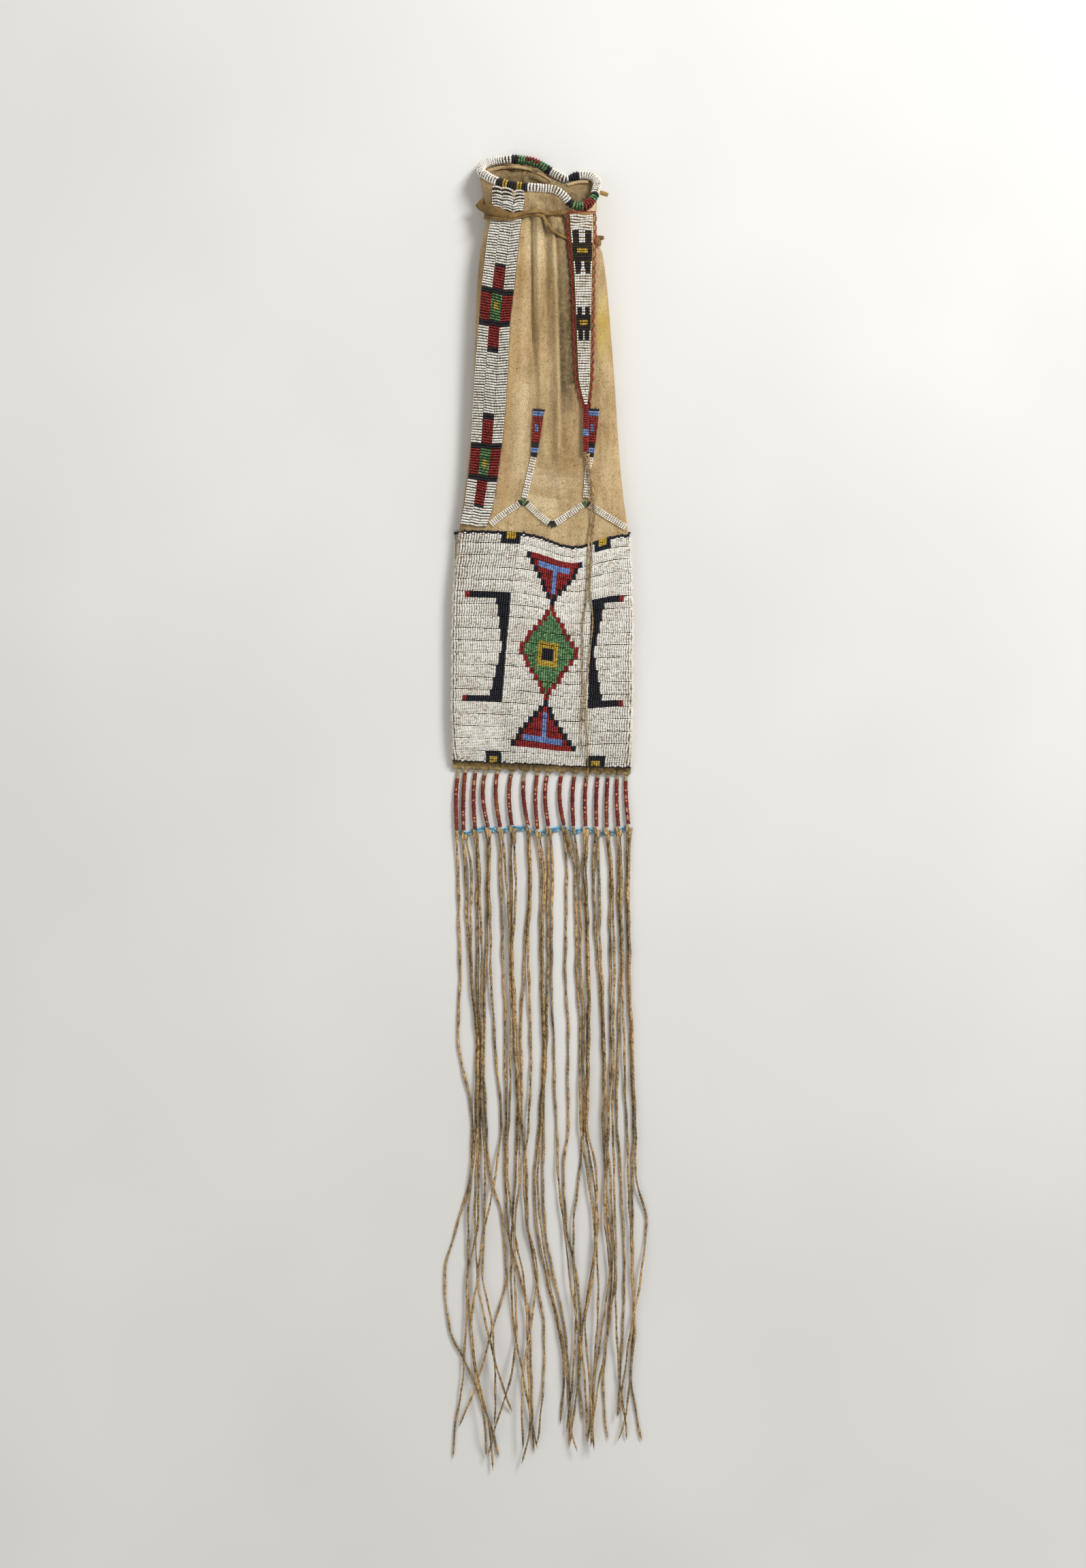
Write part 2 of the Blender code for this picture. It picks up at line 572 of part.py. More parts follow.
def drop_tip(probe):
    # bead-wrapped end of the drop
    points, parts = [], 5
    start = TAB_EDGES[-1][0] - 0.5 - TOUCH
    for i in range(parts + 1):
        y = start + (TIP_END - start) * i / parts
        base = probe.highest(TIP_X, y, TIP_DIAMETER / 2, 5.0)
        points.append((TIP_X, y, base + SEAT + TIP_DIAMETER / 2))
    return tube("drop_tip", points, TIP_DIAMETER, red_beads())


def drop_thong(name, line, probe):
    radius = DROP_THONG / 2
    points = []
    for x, y in dense(line, THONG_STEP):
        points.append((x, y, probe.highest(x, y, radius + 0.4, THONG_STEP / 2) + SEAT + radius))
    return tube(name, points, DROP_THONG, thong())


def rim_beading(hide, inner_edge):
    # beaded roll along the edge of the mouth, standing off the edge by its own radius
    ring = hide.rings[-1]
    count, radius = len(ring), ROLL_DIAMETER / 2
    rings = []
    centres = []
    for i, p in enumerate(ring):
        ahead = (ring[(i + 1) % count] - ring[i - 1]).normalized()
        out = (Vector((0, 1, 0)) - ahead * ahead.y).normalized()
        centres.append((p + inner_edge[i]) / 2 + out * (radius + TOUCH + 0.5))
    for i, centre in enumerate(centres):
        ahead = (centres[(i + 1) % count] - centres[i - 1]).normalized()
        side = ahead.cross(Vector((0, 1, 0))).normalized()
        up = side.cross(ahead)
        rings.append([centre + side * radius * math.cos(a) + up * radius * math.sin(a)
                      for a in (2 * math.pi * k / 8 for k in range(8))])
    return loft("rim_beading", rings, white_beads(), closed=True)


def tie_points(hide, end_u, lift):
    # points along the tied neck from its left side, each with its outward direction
    count = len(hide.rings[0])
    shifts = [(FRONT_COUNT - 1, 2.4), (FRONT_COUNT, 0.4), (count - 0.4, 0.4), (count + 0.6, -2.2)]
    points = []
    for u in list(range(1, math.ceil(end_u))) + [end_u]:
        y = along(TIE_LINE, hide.column(u)[14].x) + along(shifts, u)
        n = hide.normal(u % count, y)
        n = Vector((n.x, 0, n.z)).normalized()
        points.append((hide.point(u, y) + n * lift(u % count), n))
    return points


def sweep(name, points, width, thick, mat):
    # flat thong through points that each have an outward direction
    rings = []
    for i, (p, n) in enumerate(points):
        ahead = (points[min(i + 1, len(points) - 1)][0] - points[max(i - 1, 0)][0]).normalized()
        side = n.cross(ahead).normalized() * width / 2
        deep = n * thick / 2
        rings.append([p + side + deep, p - side + deep, p - side - deep, p + side - deep])
    return loft(name, rings, mat)


def tie_thong(hide, probe):
    # the thong goes once round the neck, past its own start, and ends loose on the front
    strip_left, strip_right = (hide.u_at(side, TIE_LINE[1][1]) for side in strip_sides(TIE_LINE[1][1]))
    over = SEAT + 0.5 + TIE_THICK / 2

    def lift(u):
        if u in (0, FRONT_COUNT):
            return over * 2
        if u > FRONT_COUNT:
            return over + (0.8 if u == FRONT_COUNT + 1 else 0.0)
        if strip_left - 2.6 <= u <= strip_right + 2.2:
            return over + STRIP_SEAT + STRIP_THICK
        return over + 1.2

    out_left = Vector((-0.8, 0, 0.6)).normalized()
    points = [(Vector(p), out_left) for p in TIE_FLAP]
    points += tie_points(hide, len(hide.rings[0]) + hide.u_at(*TIE_OFF), lift)
    for x, y in TIE_LOOSE_END:
        base = probe.highest(x, y, 3.0, 3.0)
        points.append((Vector((x, y, base + SEAT + TIE_THICK / 2 + 0.2)), Vector((0, 0, 1))))
    return sweep("tie_thong", points, TIE_WIDTH, TIE_THICK, buckskin())


# Fringe

def slat_height(share):
    # height of a slat's middle from its top, 0, to its lower end, 1
    return SLAT_WIDTH / 2 + 0.5 + SLAT_RAISE * share


def band_edge(x):
    # place of the band's upper edge, at the bottom seam of the bag
    return SECTIONS[0][0] + BOTTOM_SLOPE * x - TOUCH


def fringe_band():
    # hide strip sewn into the bottom seam, cut in scallops between the slats
    tops = [s[0] for s in SLATS]
    edges = [tops[0] - 5.5] + [(a + b) / 2 for a, b in zip(tops, tops[1:])] + [tops[-1] + 4.5]
    outline = [(edges[-1], band_edge(edges[-1])), (edges[0], band_edge(edges[0]))]
    for a, b in zip(edges, edges[1:]):
        low = band_edge((a + b) / 2) - BAND_DROP
        outline += [(a, low + SCALLOP), (a + (b - a) * 0.25, low + BAND_HEM), (a + (b - a) * 0.75, low + BAND_HEM)]
    outline.append((edges[-1], band_edge(edges[-1]) - BAND_DROP + SCALLOP))
    middle = slat_height(0)
    rings = [[(x, y, middle + h) for x, y in outline] for h in (-BAND_THICK / 2, BAND_THICK / 2)]
    return loft("fringe_band", rings, buckskin())


def slat_top(x):
    return band_edge(x) - BAND_DROP + BAND_HEM - TOUCH


def quill_slat(number, spec):
    # hide slat wrapped in quills, thicker in the middle than at its bound ends
    top_x, end_x, end_y = spec
    start = Vector((top_x, slat_top(top_x), slat_height(0)))
    run = Vector((end_x, end_y, slat_height(1))) - start
    rings = []
    for share, swell in ((0.0, 0.78), (0.06, 1.0), (0.5, 0.97), (0.94, 1.0), (1.0, 0.8)):
        bow = 0.9 * math.sin(math.pi * share) * (1 if number % 3 else -1)
        r = SLAT_WIDTH / 2 * swell
        ring = []
        for k in range(8):
            a = 2 * math.pi * (k + 0.5) / 8
            ring.append(run * share + Vector((bow + r * math.cos(a), 0, r * math.sin(a) * 0.92)))
        rings.append(ring)
    slat = loft(f"quill_slat_{number:02d}", rings, quillwork())
    slat.location = to_m(start)
    return slat


def tail_route(number, key):
    # flat route of one tail: from the slat's end, through its places, to its end
    _, end_x, end_y = SLATS[number - 1]
    xs, end = TAILS[key]
    second = key.endswith("b")
    start_y = end_y - TOUCH - 0.3
    first = (end_x + (0.6 if second else 0.0), start_y - (2.2 if second else 0.0))
    return [first] + list(zip(xs, TAIL_PLACES)) + [end]


def apart(a0, a1, b0, b1):
    # least sideways distance of two tails between two places along the bag
    first, last = a0 - b0, a1 - b1
    if first * last < 0:
        return 0.0
    return min(abs(first), abs(last))


def tail_heights(routes):
    # each tail lies on the floor or over every earlier tail that it comes too near to
    clear = TAIL_DIAMETER + TAIL_GAP
    start = slat_height(1)
    low = FLOOR_GAP + TAIL_DIAMETER / 2
    heights = {}
    done = []
    for key in sorted(routes, key=lambda k: (k[2], k)):
        route = routes[key]
        z = [low] * len(route)
        z[0] = start
        for other in done:
            other_route, other_z = routes[other], heights[other]
            for i in range(1, min(len(route), len(other_route)) - 1):
                near = apart(route[i][0], route[i + 1][0], other_route[i][0], other_route[i + 1][0])
                if near < clear:
                    for j in (i, i + 1):
                        z[j] = max(z[j], other_z[j] + clear)
        heights[key] = z
        done.append(key)
    return heights


def fringe_thongs():
    # each thong is one strip of hide, slit below its slat into one or two twisted tails
    routes = {key: tail_route(int(key[:2]), key) for key in TAILS}
    heights = tail_heights(routes)
    for number in range(1, len(SLATS) + 1):
        keys = [key for key in TAILS if int(key[:2]) == number]
        parts = [[(x, y, z) for (x, y), z in zip(routes[key], heights[key])] for key in keys]
        join_tails(f"fringe_thong_{number:02d}", parts)


def join_tails(name, parts):
    tubes = []
    for i, points in enumerate(parts):
        curve = tube(f"{name}_tail_{i}", points, TAIL_DIAMETER, thong())
        graph = bpy.context.evaluated_depsgraph_get()
        mesh = bpy.data.meshes.new_from_object(curve.evaluated_get(graph))
        bpy.data.objects.remove(curve)
        obj = bpy.data.objects.new(name if i == 0 else f"{name}_branch", mesh)
        bpy.context.scene.collection.objects.link(obj)
        tubes.append(obj)
    if len(tubes) == 2:
        union = tubes[0].modifiers.new("branch", "BOOLEAN")
        union.operation = "UNION"
        union.object = tubes[1]
        tubes[1].hide_render = True
        tubes[1].display_type = "WIRE"


def bead_string(name, shift):
    # string of tube beads that passes under every thong
    z = FLOOR_GAP + STRING_DIAMETER / 2
    points = [(x, y + shift, z) for x, y in STRING_WAVES]
    return tube(name, points, STRING_DIAMETER, turquoise_beads())


def main():
    for obj in list(bpy.data.objects):
        bpy.data.objects.remove(obj)
    outer, inner = bag_rings()
    around = FRONT_COUNT + BACK_COUNT
    front = hide_side("hide_front", outer, inner, -SIDE_WRAP, FRONT_COUNT + SIDE_WRAP, 0.0)
    back = hide_side("hide_back", outer, inner, FRONT_COUNT + SIDE_WRAP, around - SIDE_WRAP, TOUCH)
    hide = Hide(outer)
    panel = front_panel(hide)
    back_panel()
    strip = side_strip(hide)
    rim_beading(hide, [Vector(p) for p in inner[-1]])
    on_hide = Probe(front)
    laid_line("left_bar", LEFT_BAR, LINE_THICK, on_hide, red_beads())
    right_bar = laid_line("right_bar", RIGHT_BAR, LINE_THICK, on_hide, red_beads())
    zigzag = laid_line("zigzag_line", with_width(ZIGZAG, LINE_HALF), LINE_THICK, on_hide, white_beads())
    tie = tie_thong(hide, Probe(front, back, strip))
    drop_tab(Probe(front, back, strip, tie, right_bar))
    drop_tip(Probe(front, right_bar))
    band = fringe_band()
    slats = [quill_slat(number, spec) for number, spec in enumerate(SLATS, 1)]
    laid = Probe(front, panel, zigzag, right_bar, band, *slats)
    drop_thong("drop_thong_left", THONG_LEFT, laid)
    drop_thong("drop_thong_right", THONG_RIGHT, laid)
    fringe_thongs()
    bead_string("blue_bead_string_upper", 1.1)
    bead_string("blue_bead_string_lower", -1.3)


main()
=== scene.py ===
# Pipe bag: hide pouch with a gathered mouth, beaded panels, side strip and drop,
# quill-wrapped slats and a long fringe of twisted thongs, laid flat on a pale table.
# Lengths in the tables are millimetres in the frame of the CAD model.

import math

import bmesh
import bpy
import numpy as np
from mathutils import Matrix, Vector, noise
from mathutils.bvhtree import BVHTree


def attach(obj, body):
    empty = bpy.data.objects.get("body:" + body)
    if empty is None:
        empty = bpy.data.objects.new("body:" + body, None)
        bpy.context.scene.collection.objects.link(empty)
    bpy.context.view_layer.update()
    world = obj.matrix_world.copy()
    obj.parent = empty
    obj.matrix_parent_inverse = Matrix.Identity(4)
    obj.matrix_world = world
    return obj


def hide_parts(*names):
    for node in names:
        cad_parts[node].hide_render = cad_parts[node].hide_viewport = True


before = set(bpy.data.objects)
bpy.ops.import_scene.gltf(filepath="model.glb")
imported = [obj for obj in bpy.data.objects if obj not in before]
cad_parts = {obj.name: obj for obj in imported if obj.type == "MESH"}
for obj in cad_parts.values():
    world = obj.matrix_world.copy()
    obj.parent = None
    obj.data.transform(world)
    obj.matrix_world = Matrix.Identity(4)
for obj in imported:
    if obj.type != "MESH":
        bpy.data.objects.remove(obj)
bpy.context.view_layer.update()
scene = bpy.context.scene
rng = np.random.default_rng(11)
mm = 0.001


# small tools

def linear(r, g, b):
    # turns a colour as the eye sees it into Blender's linear values
    return tuple(c / 12.92 if c <= 0.04045 else ((c + 0.055) / 1.055) ** 2.4 for c in (r, g, b)) + (1.0,)


def interp(x, table, column=1):
    # straight lines through the rows of a table
    table = sorted(table)
    return np.interp(x, [row[0] for row in table], [row[column] for row in table])


def sidesAt(y, edges):
    # left and right side at a place along the bag
    return interp(y, edges), interp(y, edges, 2)


def smoothThrough(xs, ys):
    # smooth curve through points that doesn't overshoot them
    xs, ys = np.asarray(xs, float), np.asarray(ys, float)
    if ys.ndim == 1:
        ys = ys[:, None]
    step = np.diff(xs)
    rate = np.diff(ys, axis=0) / step[:, None]
    slope = np.zeros_like(ys)
    slope[0], slope[-1] = rate[0], rate[-1]
    same = rate[:-1] * rate[1:] > 0
    total = np.where(same, rate[:-1] + rate[1:], 1.0)
    slope[1:-1] = np.where(same, 2 * rate[:-1] * rate[1:] / total, 0.0)

    def at(x):
        x = np.clip(np.asarray(x, float), xs[0], xs[-1])
        k = np.clip(np.searchsorted(xs, x, "right") - 1, 0, len(xs) - 2)
        h = step[k][:, None]
        t = ((x - xs[k]) / step[k])[:, None]
        return (ys[k] * (1 + 2 * t) * (1 - t) ** 2 + slope[k] * h * t * (1 - t) ** 2
                + ys[k + 1] * t * t * (3 - 2 * t) + slope[k + 1] * h * t * t * (t - 1))

    return at


def unit(v):
    v = np.asarray(v, float)
    return v / np.maximum(np.linalg.norm(v, axis=-1, keepdims=True), 1e-9)


def evenly(path, pitch, closed=False):
    # resamples a line of points at an even pitch
    path = np.asarray(path, float)
    if closed:
        path = np.vstack([path, path[:1]])
    run = np.concatenate([[0.0], np.cumsum(np.linalg.norm(np.diff(path, axis=0), axis=1))])
    count = max(2, int(round(run[-1] / pitch)))
    want = np.linspace(0, run[-1], count + 1)[:count if closed else count + 1]
    return np.stack([np.interp(want, run, path[:, i]) for i in range(path.shape[1])], axis=1), run[-1]


def circle(count):
    # cosine and sine of evenly spaced angles
    return [(math.cos(2 * math.pi * k / count), math.sin(2 * math.pi * k / count)) for k in range(count)]


def pathFrame(path):
    # directions ahead, aside and up at each point of a path
    ahead = unit(np.gradient(path, axis=0))
    side = unit(np.cross(ahead, (0, 0, 1)))
    return ahead, side, np.cross(side, ahead)


def turnedRings(path, section, turn):
    # rings round a path: each point of the section lies aside and above it, turned about it
    ahead, side, up = pathFrame(path)
    rings = []
    for a, b in section:
        x = a * np.cos(turn) - b * np.sin(turn)
        z = a * np.sin(turn) + b * np.cos(turn)
        rings.append(path + side * x[:, None] + up * z[:, None])
    return np.stack(rings, axis=1)


def bridge(z, rounds, sink=0.0):
    # smooths the heights along a line, which sink by no more than a little in each round
    for _ in range(rounds):
        z[1:-1] = np.maximum((z[:-2] + 2 * z[1:-1] + z[2:]) / 4, z[1:-1] - sink)


def noiseAt(xs, ys, seed):
    return np.array([noise.noise(Vector((x, y, seed))) for x, y in zip(xs, ys)])


def place(obj, node):
    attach(obj, "root")
    for name in [node] if isinstance(node, str) else node:
        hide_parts(name)
    return obj


def finishMesh(name, bm, material):
    mesh = bpy.data.meshes.new(name)
    bm.to_mesh(mesh)
    bm.free()
    mesh.shade_smooth()
    obj = bpy.data.objects.new(name, mesh)
    mesh.materials.append(material)
    scene.collection.objects.link(obj)
    return obj


def gridMesh(spots, uvs=False):
    # grid of faces over rows of points
    rows, cols = spots.shape[:2]
    bm = bmesh.new()
    if uvs:
        bm.loops.layers.uv.new("UVMap")
    bmesh.ops.create_grid(bm, x_segments=cols - 1, y_segments=rows - 1, size=0.5, calc_uvs=uvs)
    bm.verts.ensure_lookup_table()
    for vert, spot in zip(bm.verts, spots.reshape(-1, 3) * mm):
        vert.co = spot
    return bm


def joinSeams(bm):
    bmesh.ops.remove_doubles(bm, verts=bm.verts[:], dist=1e-8)


def skin(name, rings, material, length=1.0, sharp=None):
    # closed skin over rings of points: a grid whose last column meets its first, with filled ends
    rings = np.asarray(rings, float)
    bm = gridMesh(np.concatenate([rings, rings[:, :1]], axis=1), uvs=True)
    uv = bm.loops.layers.uv.active
    for face in bm.faces:
        for loop in face.loops:
            loop[uv].uv.y *= length
    joinSeams(bm)
    bmesh.ops.holes_fill(bm, edges=[e for e in bm.edges if e.is_boundary], sides=0)
    bmesh.ops.recalc_face_normals(bm, faces=bm.faces[:])
    obj = finishMesh(name, bm, material)
    if sharp:
        obj.data.set_sharp_from_angle(angle=math.radians(sharp))
    return obj


def paintLayer(mesh, name, values):
    layer = mesh.attributes.new(name, "FLOAT", "POINT")
    layer.data.foreach_set("value", values.astype(np.float32))


def spotsOf(obj):
    # the mesh's points in millimetres
    return np.array([v.co for v in obj.data.vertices]) / mm


def treeOf(*objects):
    trees = []
    for obj in objects:
        bm = bmesh.new()
        bm.from_mesh(obj.data)
        trees.append(BVHTree.FromBMesh(bm))
        bm.free()
    return trees


def topOf(trees, x, y, above=60.0):
    # height of the uppermost surface at a place, in millimetres
    best = 0.0
    for tree in trees:
        hit = tree.ray_cast(Vector((x * mm, y * mm, above * mm)), Vector((0, 0, -1)))[0]
        if hit is not None:
            best = max(best, hit.z / mm)
    return best


def highest(trees, x, y, reachX, reachY):
    steps = (-1, -0.5, 0, 0.5, 1)
    return max(topOf(trees, x + i * reachX, y + j * reachY) for i in steps for j in steps)


# materials

def feed(mat, node, inputs):
    # sets a node's inputs: another node's output is linked, anything else is a value
    for key, value in inputs.items():
        if isinstance(value, bpy.types.NodeSocket):
            mat.node_tree.links.new(value, node.inputs[key])
        else:
            node.inputs[key].default_value = value
    return node


def addNode(mat, kind, inputs):
    return feed(mat, mat.node_tree.nodes.new("ShaderNode" + kind), inputs)


def startMaterial(name, roughness, specular=0.5):
    mat = bpy.data.materials.new(name)
    mat.use_nodes = True
    shader = mat.node_tree.nodes["Principled BSDF"]
    feed(mat, shader, {"Roughness": roughness, "Specular IOR Level": specular})
    return mat, shader, addNode(mat, "TexCoord", {}).outputs["Object"]


def attribute(mat, name):
    node = addNode(mat, "Attribute", {})
    node.attribute_name = name
    return node.outputs["Fac"]


def noiseNode(mat, coords, scale, detail=3.0, stretch=(1, 1, 1), rough=0.55):
    vector = addNode(mat, "Mapping", {"Scale": stretch, "Vector": coords}).outputs["Vector"]
    inputs = {"Scale": scale, "Detail": detail, "Roughness": rough, "Vector": vector}
    return addNode(mat, "TexNoise", inputs).outputs["Fac"]


def mathNode(mat, operation, *values, clamp=False):
    node = addNode(mat, "Math", {})
    node.operation = operation
    node.use_clamp = clamp
    return feed(mat, node, dict(enumerate(values))).outputs[0]


def ramp(mat, factor, stops):
    # stops are places and linear colours
    node = addNode(mat, "ValToRGB", {"Fac": factor})
    elements = node.color_ramp.elements
    while len(elements) > 1:
        elements.remove(elements[-1])
    elements[0].position, elements[0].color = stops[0][0], (*stops[0][1][:3], 1)
    for position, colour in stops[1:]:
        elements.new(position).color = (*colour[:3], 1)
    return node.outputs["Color"]


def shades(mat, factor, stops):
    # a ramp whose colours are given as the eye sees them
    return ramp(mat, factor, [(at, linear(*colour)) for at, colour in stops])


def mixColour(mat, factor, a, b, mode="MIX"):
    node = addNode(mat, "Mix", {})
    node.data_type = "RGBA"
    node.blend_type = mode
    return feed(mat, node, {0: factor, 6: a, 7: b}).outputs[2]


def tone(mat, base, share, factor, stops):
    # lightens and darkens a colour by a ramp
    return mixColour(mat, share, base, ramp(mat, factor, stops), "MULTIPLY")


def bumpNode(mat, height, strength, distance, under=None):
    inputs = {"Height": height, "Strength": strength, "Distance": distance}
    if under is not None:
        inputs["Normal"] = under
    return addNode(mat, "Bump", inputs).outputs["Normal"]


def beadMaterial(name, stops, roughness=0.26):
    # glass beads: each bead has its own tone between the colours of the ramp
    mat, shader, coords = startMaterial(name, roughness)
    base = shades(mat, attribute(mat, "tone"), stops)
    dust = noiseNode(mat, coords, 45.0, 4.0)
    base = tone(mat, base, 1.0, dust, [(0.32, (0.86, 0.84, 0.80)), (0.52, (1, 1, 1))])
    feed(mat, shader, {"Base Color": base})
    return mat


beadColours = {
    "white": [(0.0, (0.74, 0.69, 0.60)), (0.05, (0.85, 0.82, 0.76)), (0.25, (0.95, 0.93, 0.89)),
              (1.0, (1.0, 0.99, 0.96))],
    "navy": [(0.0, (0.05, 0.06, 0.09)), (1.0, (0.10, 0.12, 0.18))],
    "red": [(0.0, (0.46, 0.08, 0.08)), (0.5, (0.57, 0.12, 0.12)), (1.0, (0.68, 0.19, 0.18))],
    "green": [(0.0, (0.22, 0.40, 0.22)), (0.5, (0.35, 0.53, 0.33)), (1.0, (0.52, 0.68, 0.48))],
    "yellow": [(0.0, (0.66, 0.53, 0.14)), (1.0, (0.86, 0.74, 0.30))],
    "blue": [(0.0, (0.34, 0.46, 0.70)), (1.0, (0.54, 0.67, 0.88))],
}
white, navy, red, green, yellow, blue = range(6)
beadMaterials = [beadMaterial(name + "Beads", stops) for name, stops in beadColours.items()]

suede = {
    # layers that darken and lighten the tan: noise scale, detail, stretch and roughness, share, tones
    "streaks": (90.0, 6.0, (1.0, 0.10, 1.0), 0.7, 0.9,
                [(0.34, (0.70, 0.64, 0.56)), (0.5, (0.95, 0.94, 0.92)), (0.64, (1, 1, 1))]),
    "mottle": (150.0, 6.0, (1.0, 0.32, 1.0), 0.7, 0.75,
               [(0.36, (0.82, 0.77, 0.70)), (0.5, (1.03, 1.03, 1.02)), (0.62, (1.14, 1.14, 1.13))]),
    "pores": (1150.0, 4.0, (1.0, 0.6, 1.0), 0.75, 0.8,
              [(0.36, (0.36, 0.28, 0.20)), (0.47, (0.94, 0.93, 0.91)), (0.6, (1.10, 1.09, 1.08))]),
    "specks": (330.0, 2.0, (1, 1, 1), 0.5, 0.8, [(0.27, (0.40, 0.32, 0.24)), (0.33, (1, 1, 1))]),
    # colours laid on by attributes of the mesh: a golden stain, painted light on paler places, soiling that
    # is partly painted shade, and painted shadow
    "stainsAndShading": {"gold": (0.71, 0.56, 0.34), "pale": (0.92, 0.85, 0.70), "soil": (0.36, 0.30, 0.20),
               "shade": (0.19, 0.145, 0.08)},
    # yellow pigment rubbed into the right side: place and reach in metres, colour
    "pigment": ((0.054, 0.278, 0.02), (0.011, 0.038, 0.06), (0.74, 0.62, 0.10)),
}


def attributeShare(mat, coords, name):
    # an attribute of the mesh, broken up by noise so that it has no clean edge
    patch = noiseNode(mat, coords, 260.0, 6.0, rough=0.72)
    limits = {"From Min": 0.3, "From Max": 0.7, "To Min": 0.5, "To Max": 1.2}
    spread = addNode(mat, "MapRange", {"Value": patch, **limits}).outputs["Result"]
    return mathNode(mat, "MULTIPLY", attribute(mat, name), spread, clamp=True)


def pigmentShare(mat, coords):
    middle, reach, _ = suede["pigment"]
    spot = addNode(mat, "Mapping", {"Vector": coords})
    spot.vector_type = "TEXTURE"
    feed(mat, spot, {"Location": middle, "Scale": reach})
    ball = addNode(mat, "TexGradient", {"Vector": spot.outputs["Vector"]})
    ball.gradient_type = "SPHERICAL"
    return mathNode(mat, "MULTIPLY", ball.outputs["Fac"], noiseNode(mat, coords, 90.0, 4.0))


def suedeMaterial(name, stops, stainedAndShaded=False):
    # tanned hide: blotches, streaks down the skin, dark pores and a soft nap
    mat, shader, coords = startMaterial(name, 0.86, 0.25)

    def layer(base, kind):
        scale, detail, stretch, rough, share, tones = suede[kind]
        return tone(mat, base, share, noiseNode(mat, coords, scale, detail, stretch, rough), tones)

    base = shades(mat, noiseNode(mat, coords, 14.0, 5.0, rough=0.6), stops)
    base = layer(layer(base, "streaks"), "mottle")
    # stains, painted light and painted shade, laid on by attributes of the mesh
    if stainedAndShaded:
        for markName, colour in suede["stainsAndShading"].items():
            base = mixColour(mat, attributeShare(mat, coords, markName), base, linear(*colour))
    base = layer(layer(base, "pores"), "specks")
    if stainedAndShaded:
        base = mixColour(mat, pigmentShare(mat, coords), base, linear(*suede["pigment"][2]))
    normal = bumpNode(mat, noiseNode(mat, coords, 900.0, 4.0, rough=0.7), 0.35, 0.0008)
    crease = noiseNode(mat, coords, 60.0, 6.0, stretch=(1.0, 0.45, 1.0), rough=0.6)
    normal = bumpNode(mat, crease, 0.35, 0.003, normal)
    if stainedAndShaded:
        # fine wrinkles across the hide above the panel
        wrinkles = noiseNode(mat, coords, 230.0, 3.0, stretch=(0.22, 1.0, 1.0), rough=0.5)
        normal = bumpNode(mat, wrinkles, attribute(mat, "wrinkle"), 0.0022, normal)
    feed(mat, shader, {"Base Color": base, "Normal": normal, "Sheen Weight": 0.25, "Sheen Roughness": 0.6,
                       "Sheen Tint": linear(0.90, 0.80, 0.62)})
    return mat


hideSuede = suedeMaterial("hideSuede", [(0.30, (0.62, 0.52, 0.37)), (0.45, (0.72, 0.62, 0.46)),
                                        (0.58, (0.78, 0.69, 0.53)), (0.75, (0.83, 0.76, 0.61))], stainedAndShaded=True)
tieSuede = suedeMaterial("tieSuede", [(0.3, (0.34, 0.25, 0.14)), (0.5, (0.52, 0.41, 0.24)),
                                      (0.7, (0.70, 0.56, 0.35))])
bandSuede = suedeMaterial("bandSuede", [(0.3, (0.58, 0.49, 0.32)), (0.5, (0.70, 0.60, 0.41)),
                                        (0.7, (0.79, 0.69, 0.50))], stainedAndShaded=True)


def mottledMaterial(name, roughness, specular, scale, detail, stops):
    mat, shader, coords = startMaterial(name, roughness, specular)
    feed(mat, shader, {"Base Color": shades(mat, noiseNode(mat, coords, scale, detail), stops)})
    return mat


def thongMaterial():
    # twisted thong: greyer and warmer stretches, and mottled specks that also paint the highlights and shade
    # of its twist
    mat, shader, coords = startMaterial("twistedThong", 0.85, 0.25)
    stretches = noiseNode(mat, coords, 30.0, 3.0, stretch=(1.0, 0.6, 1.0))
    base = shades(mat, stretches, [(0.30, (0.52, 0.46, 0.36)), (0.45, (0.66, 0.57, 0.42)),
                                   (0.60, (0.78, 0.66, 0.48)), (0.75, (0.83, 0.70, 0.53))])
    # the specks' dark and bright ends are partly the leather's mottling, partly painted shade and painted
    # highlight
    speckAndShading = noiseNode(mat, coords, 420.0, 4.0, stretch=(1.0, 0.45, 1.0), rough=0.75)
    base = tone(mat, base, 0.9, speckAndShading, [(0.38, (0.22, 0.16, 0.10)), (0.48, (0.72, 0.67, 0.60)),
                                        (0.58, (1.18, 1.15, 1.10))])
    feed(mat, shader, {"Base Color": base, "Normal": bumpNode(mat, speckAndShading, 0.5, 0.0006)})
    return mat


def quillMaterial():
    # dyed quill, each wrap a little different, with a painted pale highlight on top of a few wraps
    mat, shader, coords = startMaterial("dyedQuill", 0.5, 0.3)
    uv = addNode(mat, "UVMap", {}).outputs["UV"]
    split = addNode(mat, "SeparateXYZ", {"Vector": uv}).outputs
    chance = addNode(mat, "TexWhiteNoise", {})
    chance.noise_dimensions = "1D"
    feed(mat, chance, {"W": mathNode(mat, "FLOOR", split["Y"])})
    # long stretches of brick red, crimson and faded orange brown
    fade = noiseNode(mat, coords, 55.0, 3.0, stretch=(1.6, 1.0, 1.0))
    base = shades(mat, fade, [(0.30, (0.37, 0.07, 0.06)), (0.44, (0.43, 0.12, 0.07)),
                              (0.54, (0.46, 0.19, 0.09)), (0.68, (0.50, 0.27, 0.13)),
                              (0.80, (0.56, 0.35, 0.18))])
    base = tone(mat, base, 0.9, chance.outputs["Value"],
                [(0.0, (0.62, 0.52, 0.52)), (0.4, (1, 1, 1)), (0.9, (1.25, 1.20, 1.15))])
    # a few wraps get a painted pale pink highlight on top, where the fold of quill catches the light
    top = mathNode(mat, "COMPARE", split["X"], 0.27, 0.07)
    highlightWraps = mathNode(mat, "GREATER_THAN", chance.outputs["Value"], 0.86)
    base = mixColour(mat, mathNode(mat, "MULTIPLY", top, highlightWraps), base, linear(0.78, 0.56, 0.42))
    feed(mat, shader, {"Base Color": base})
    return mat
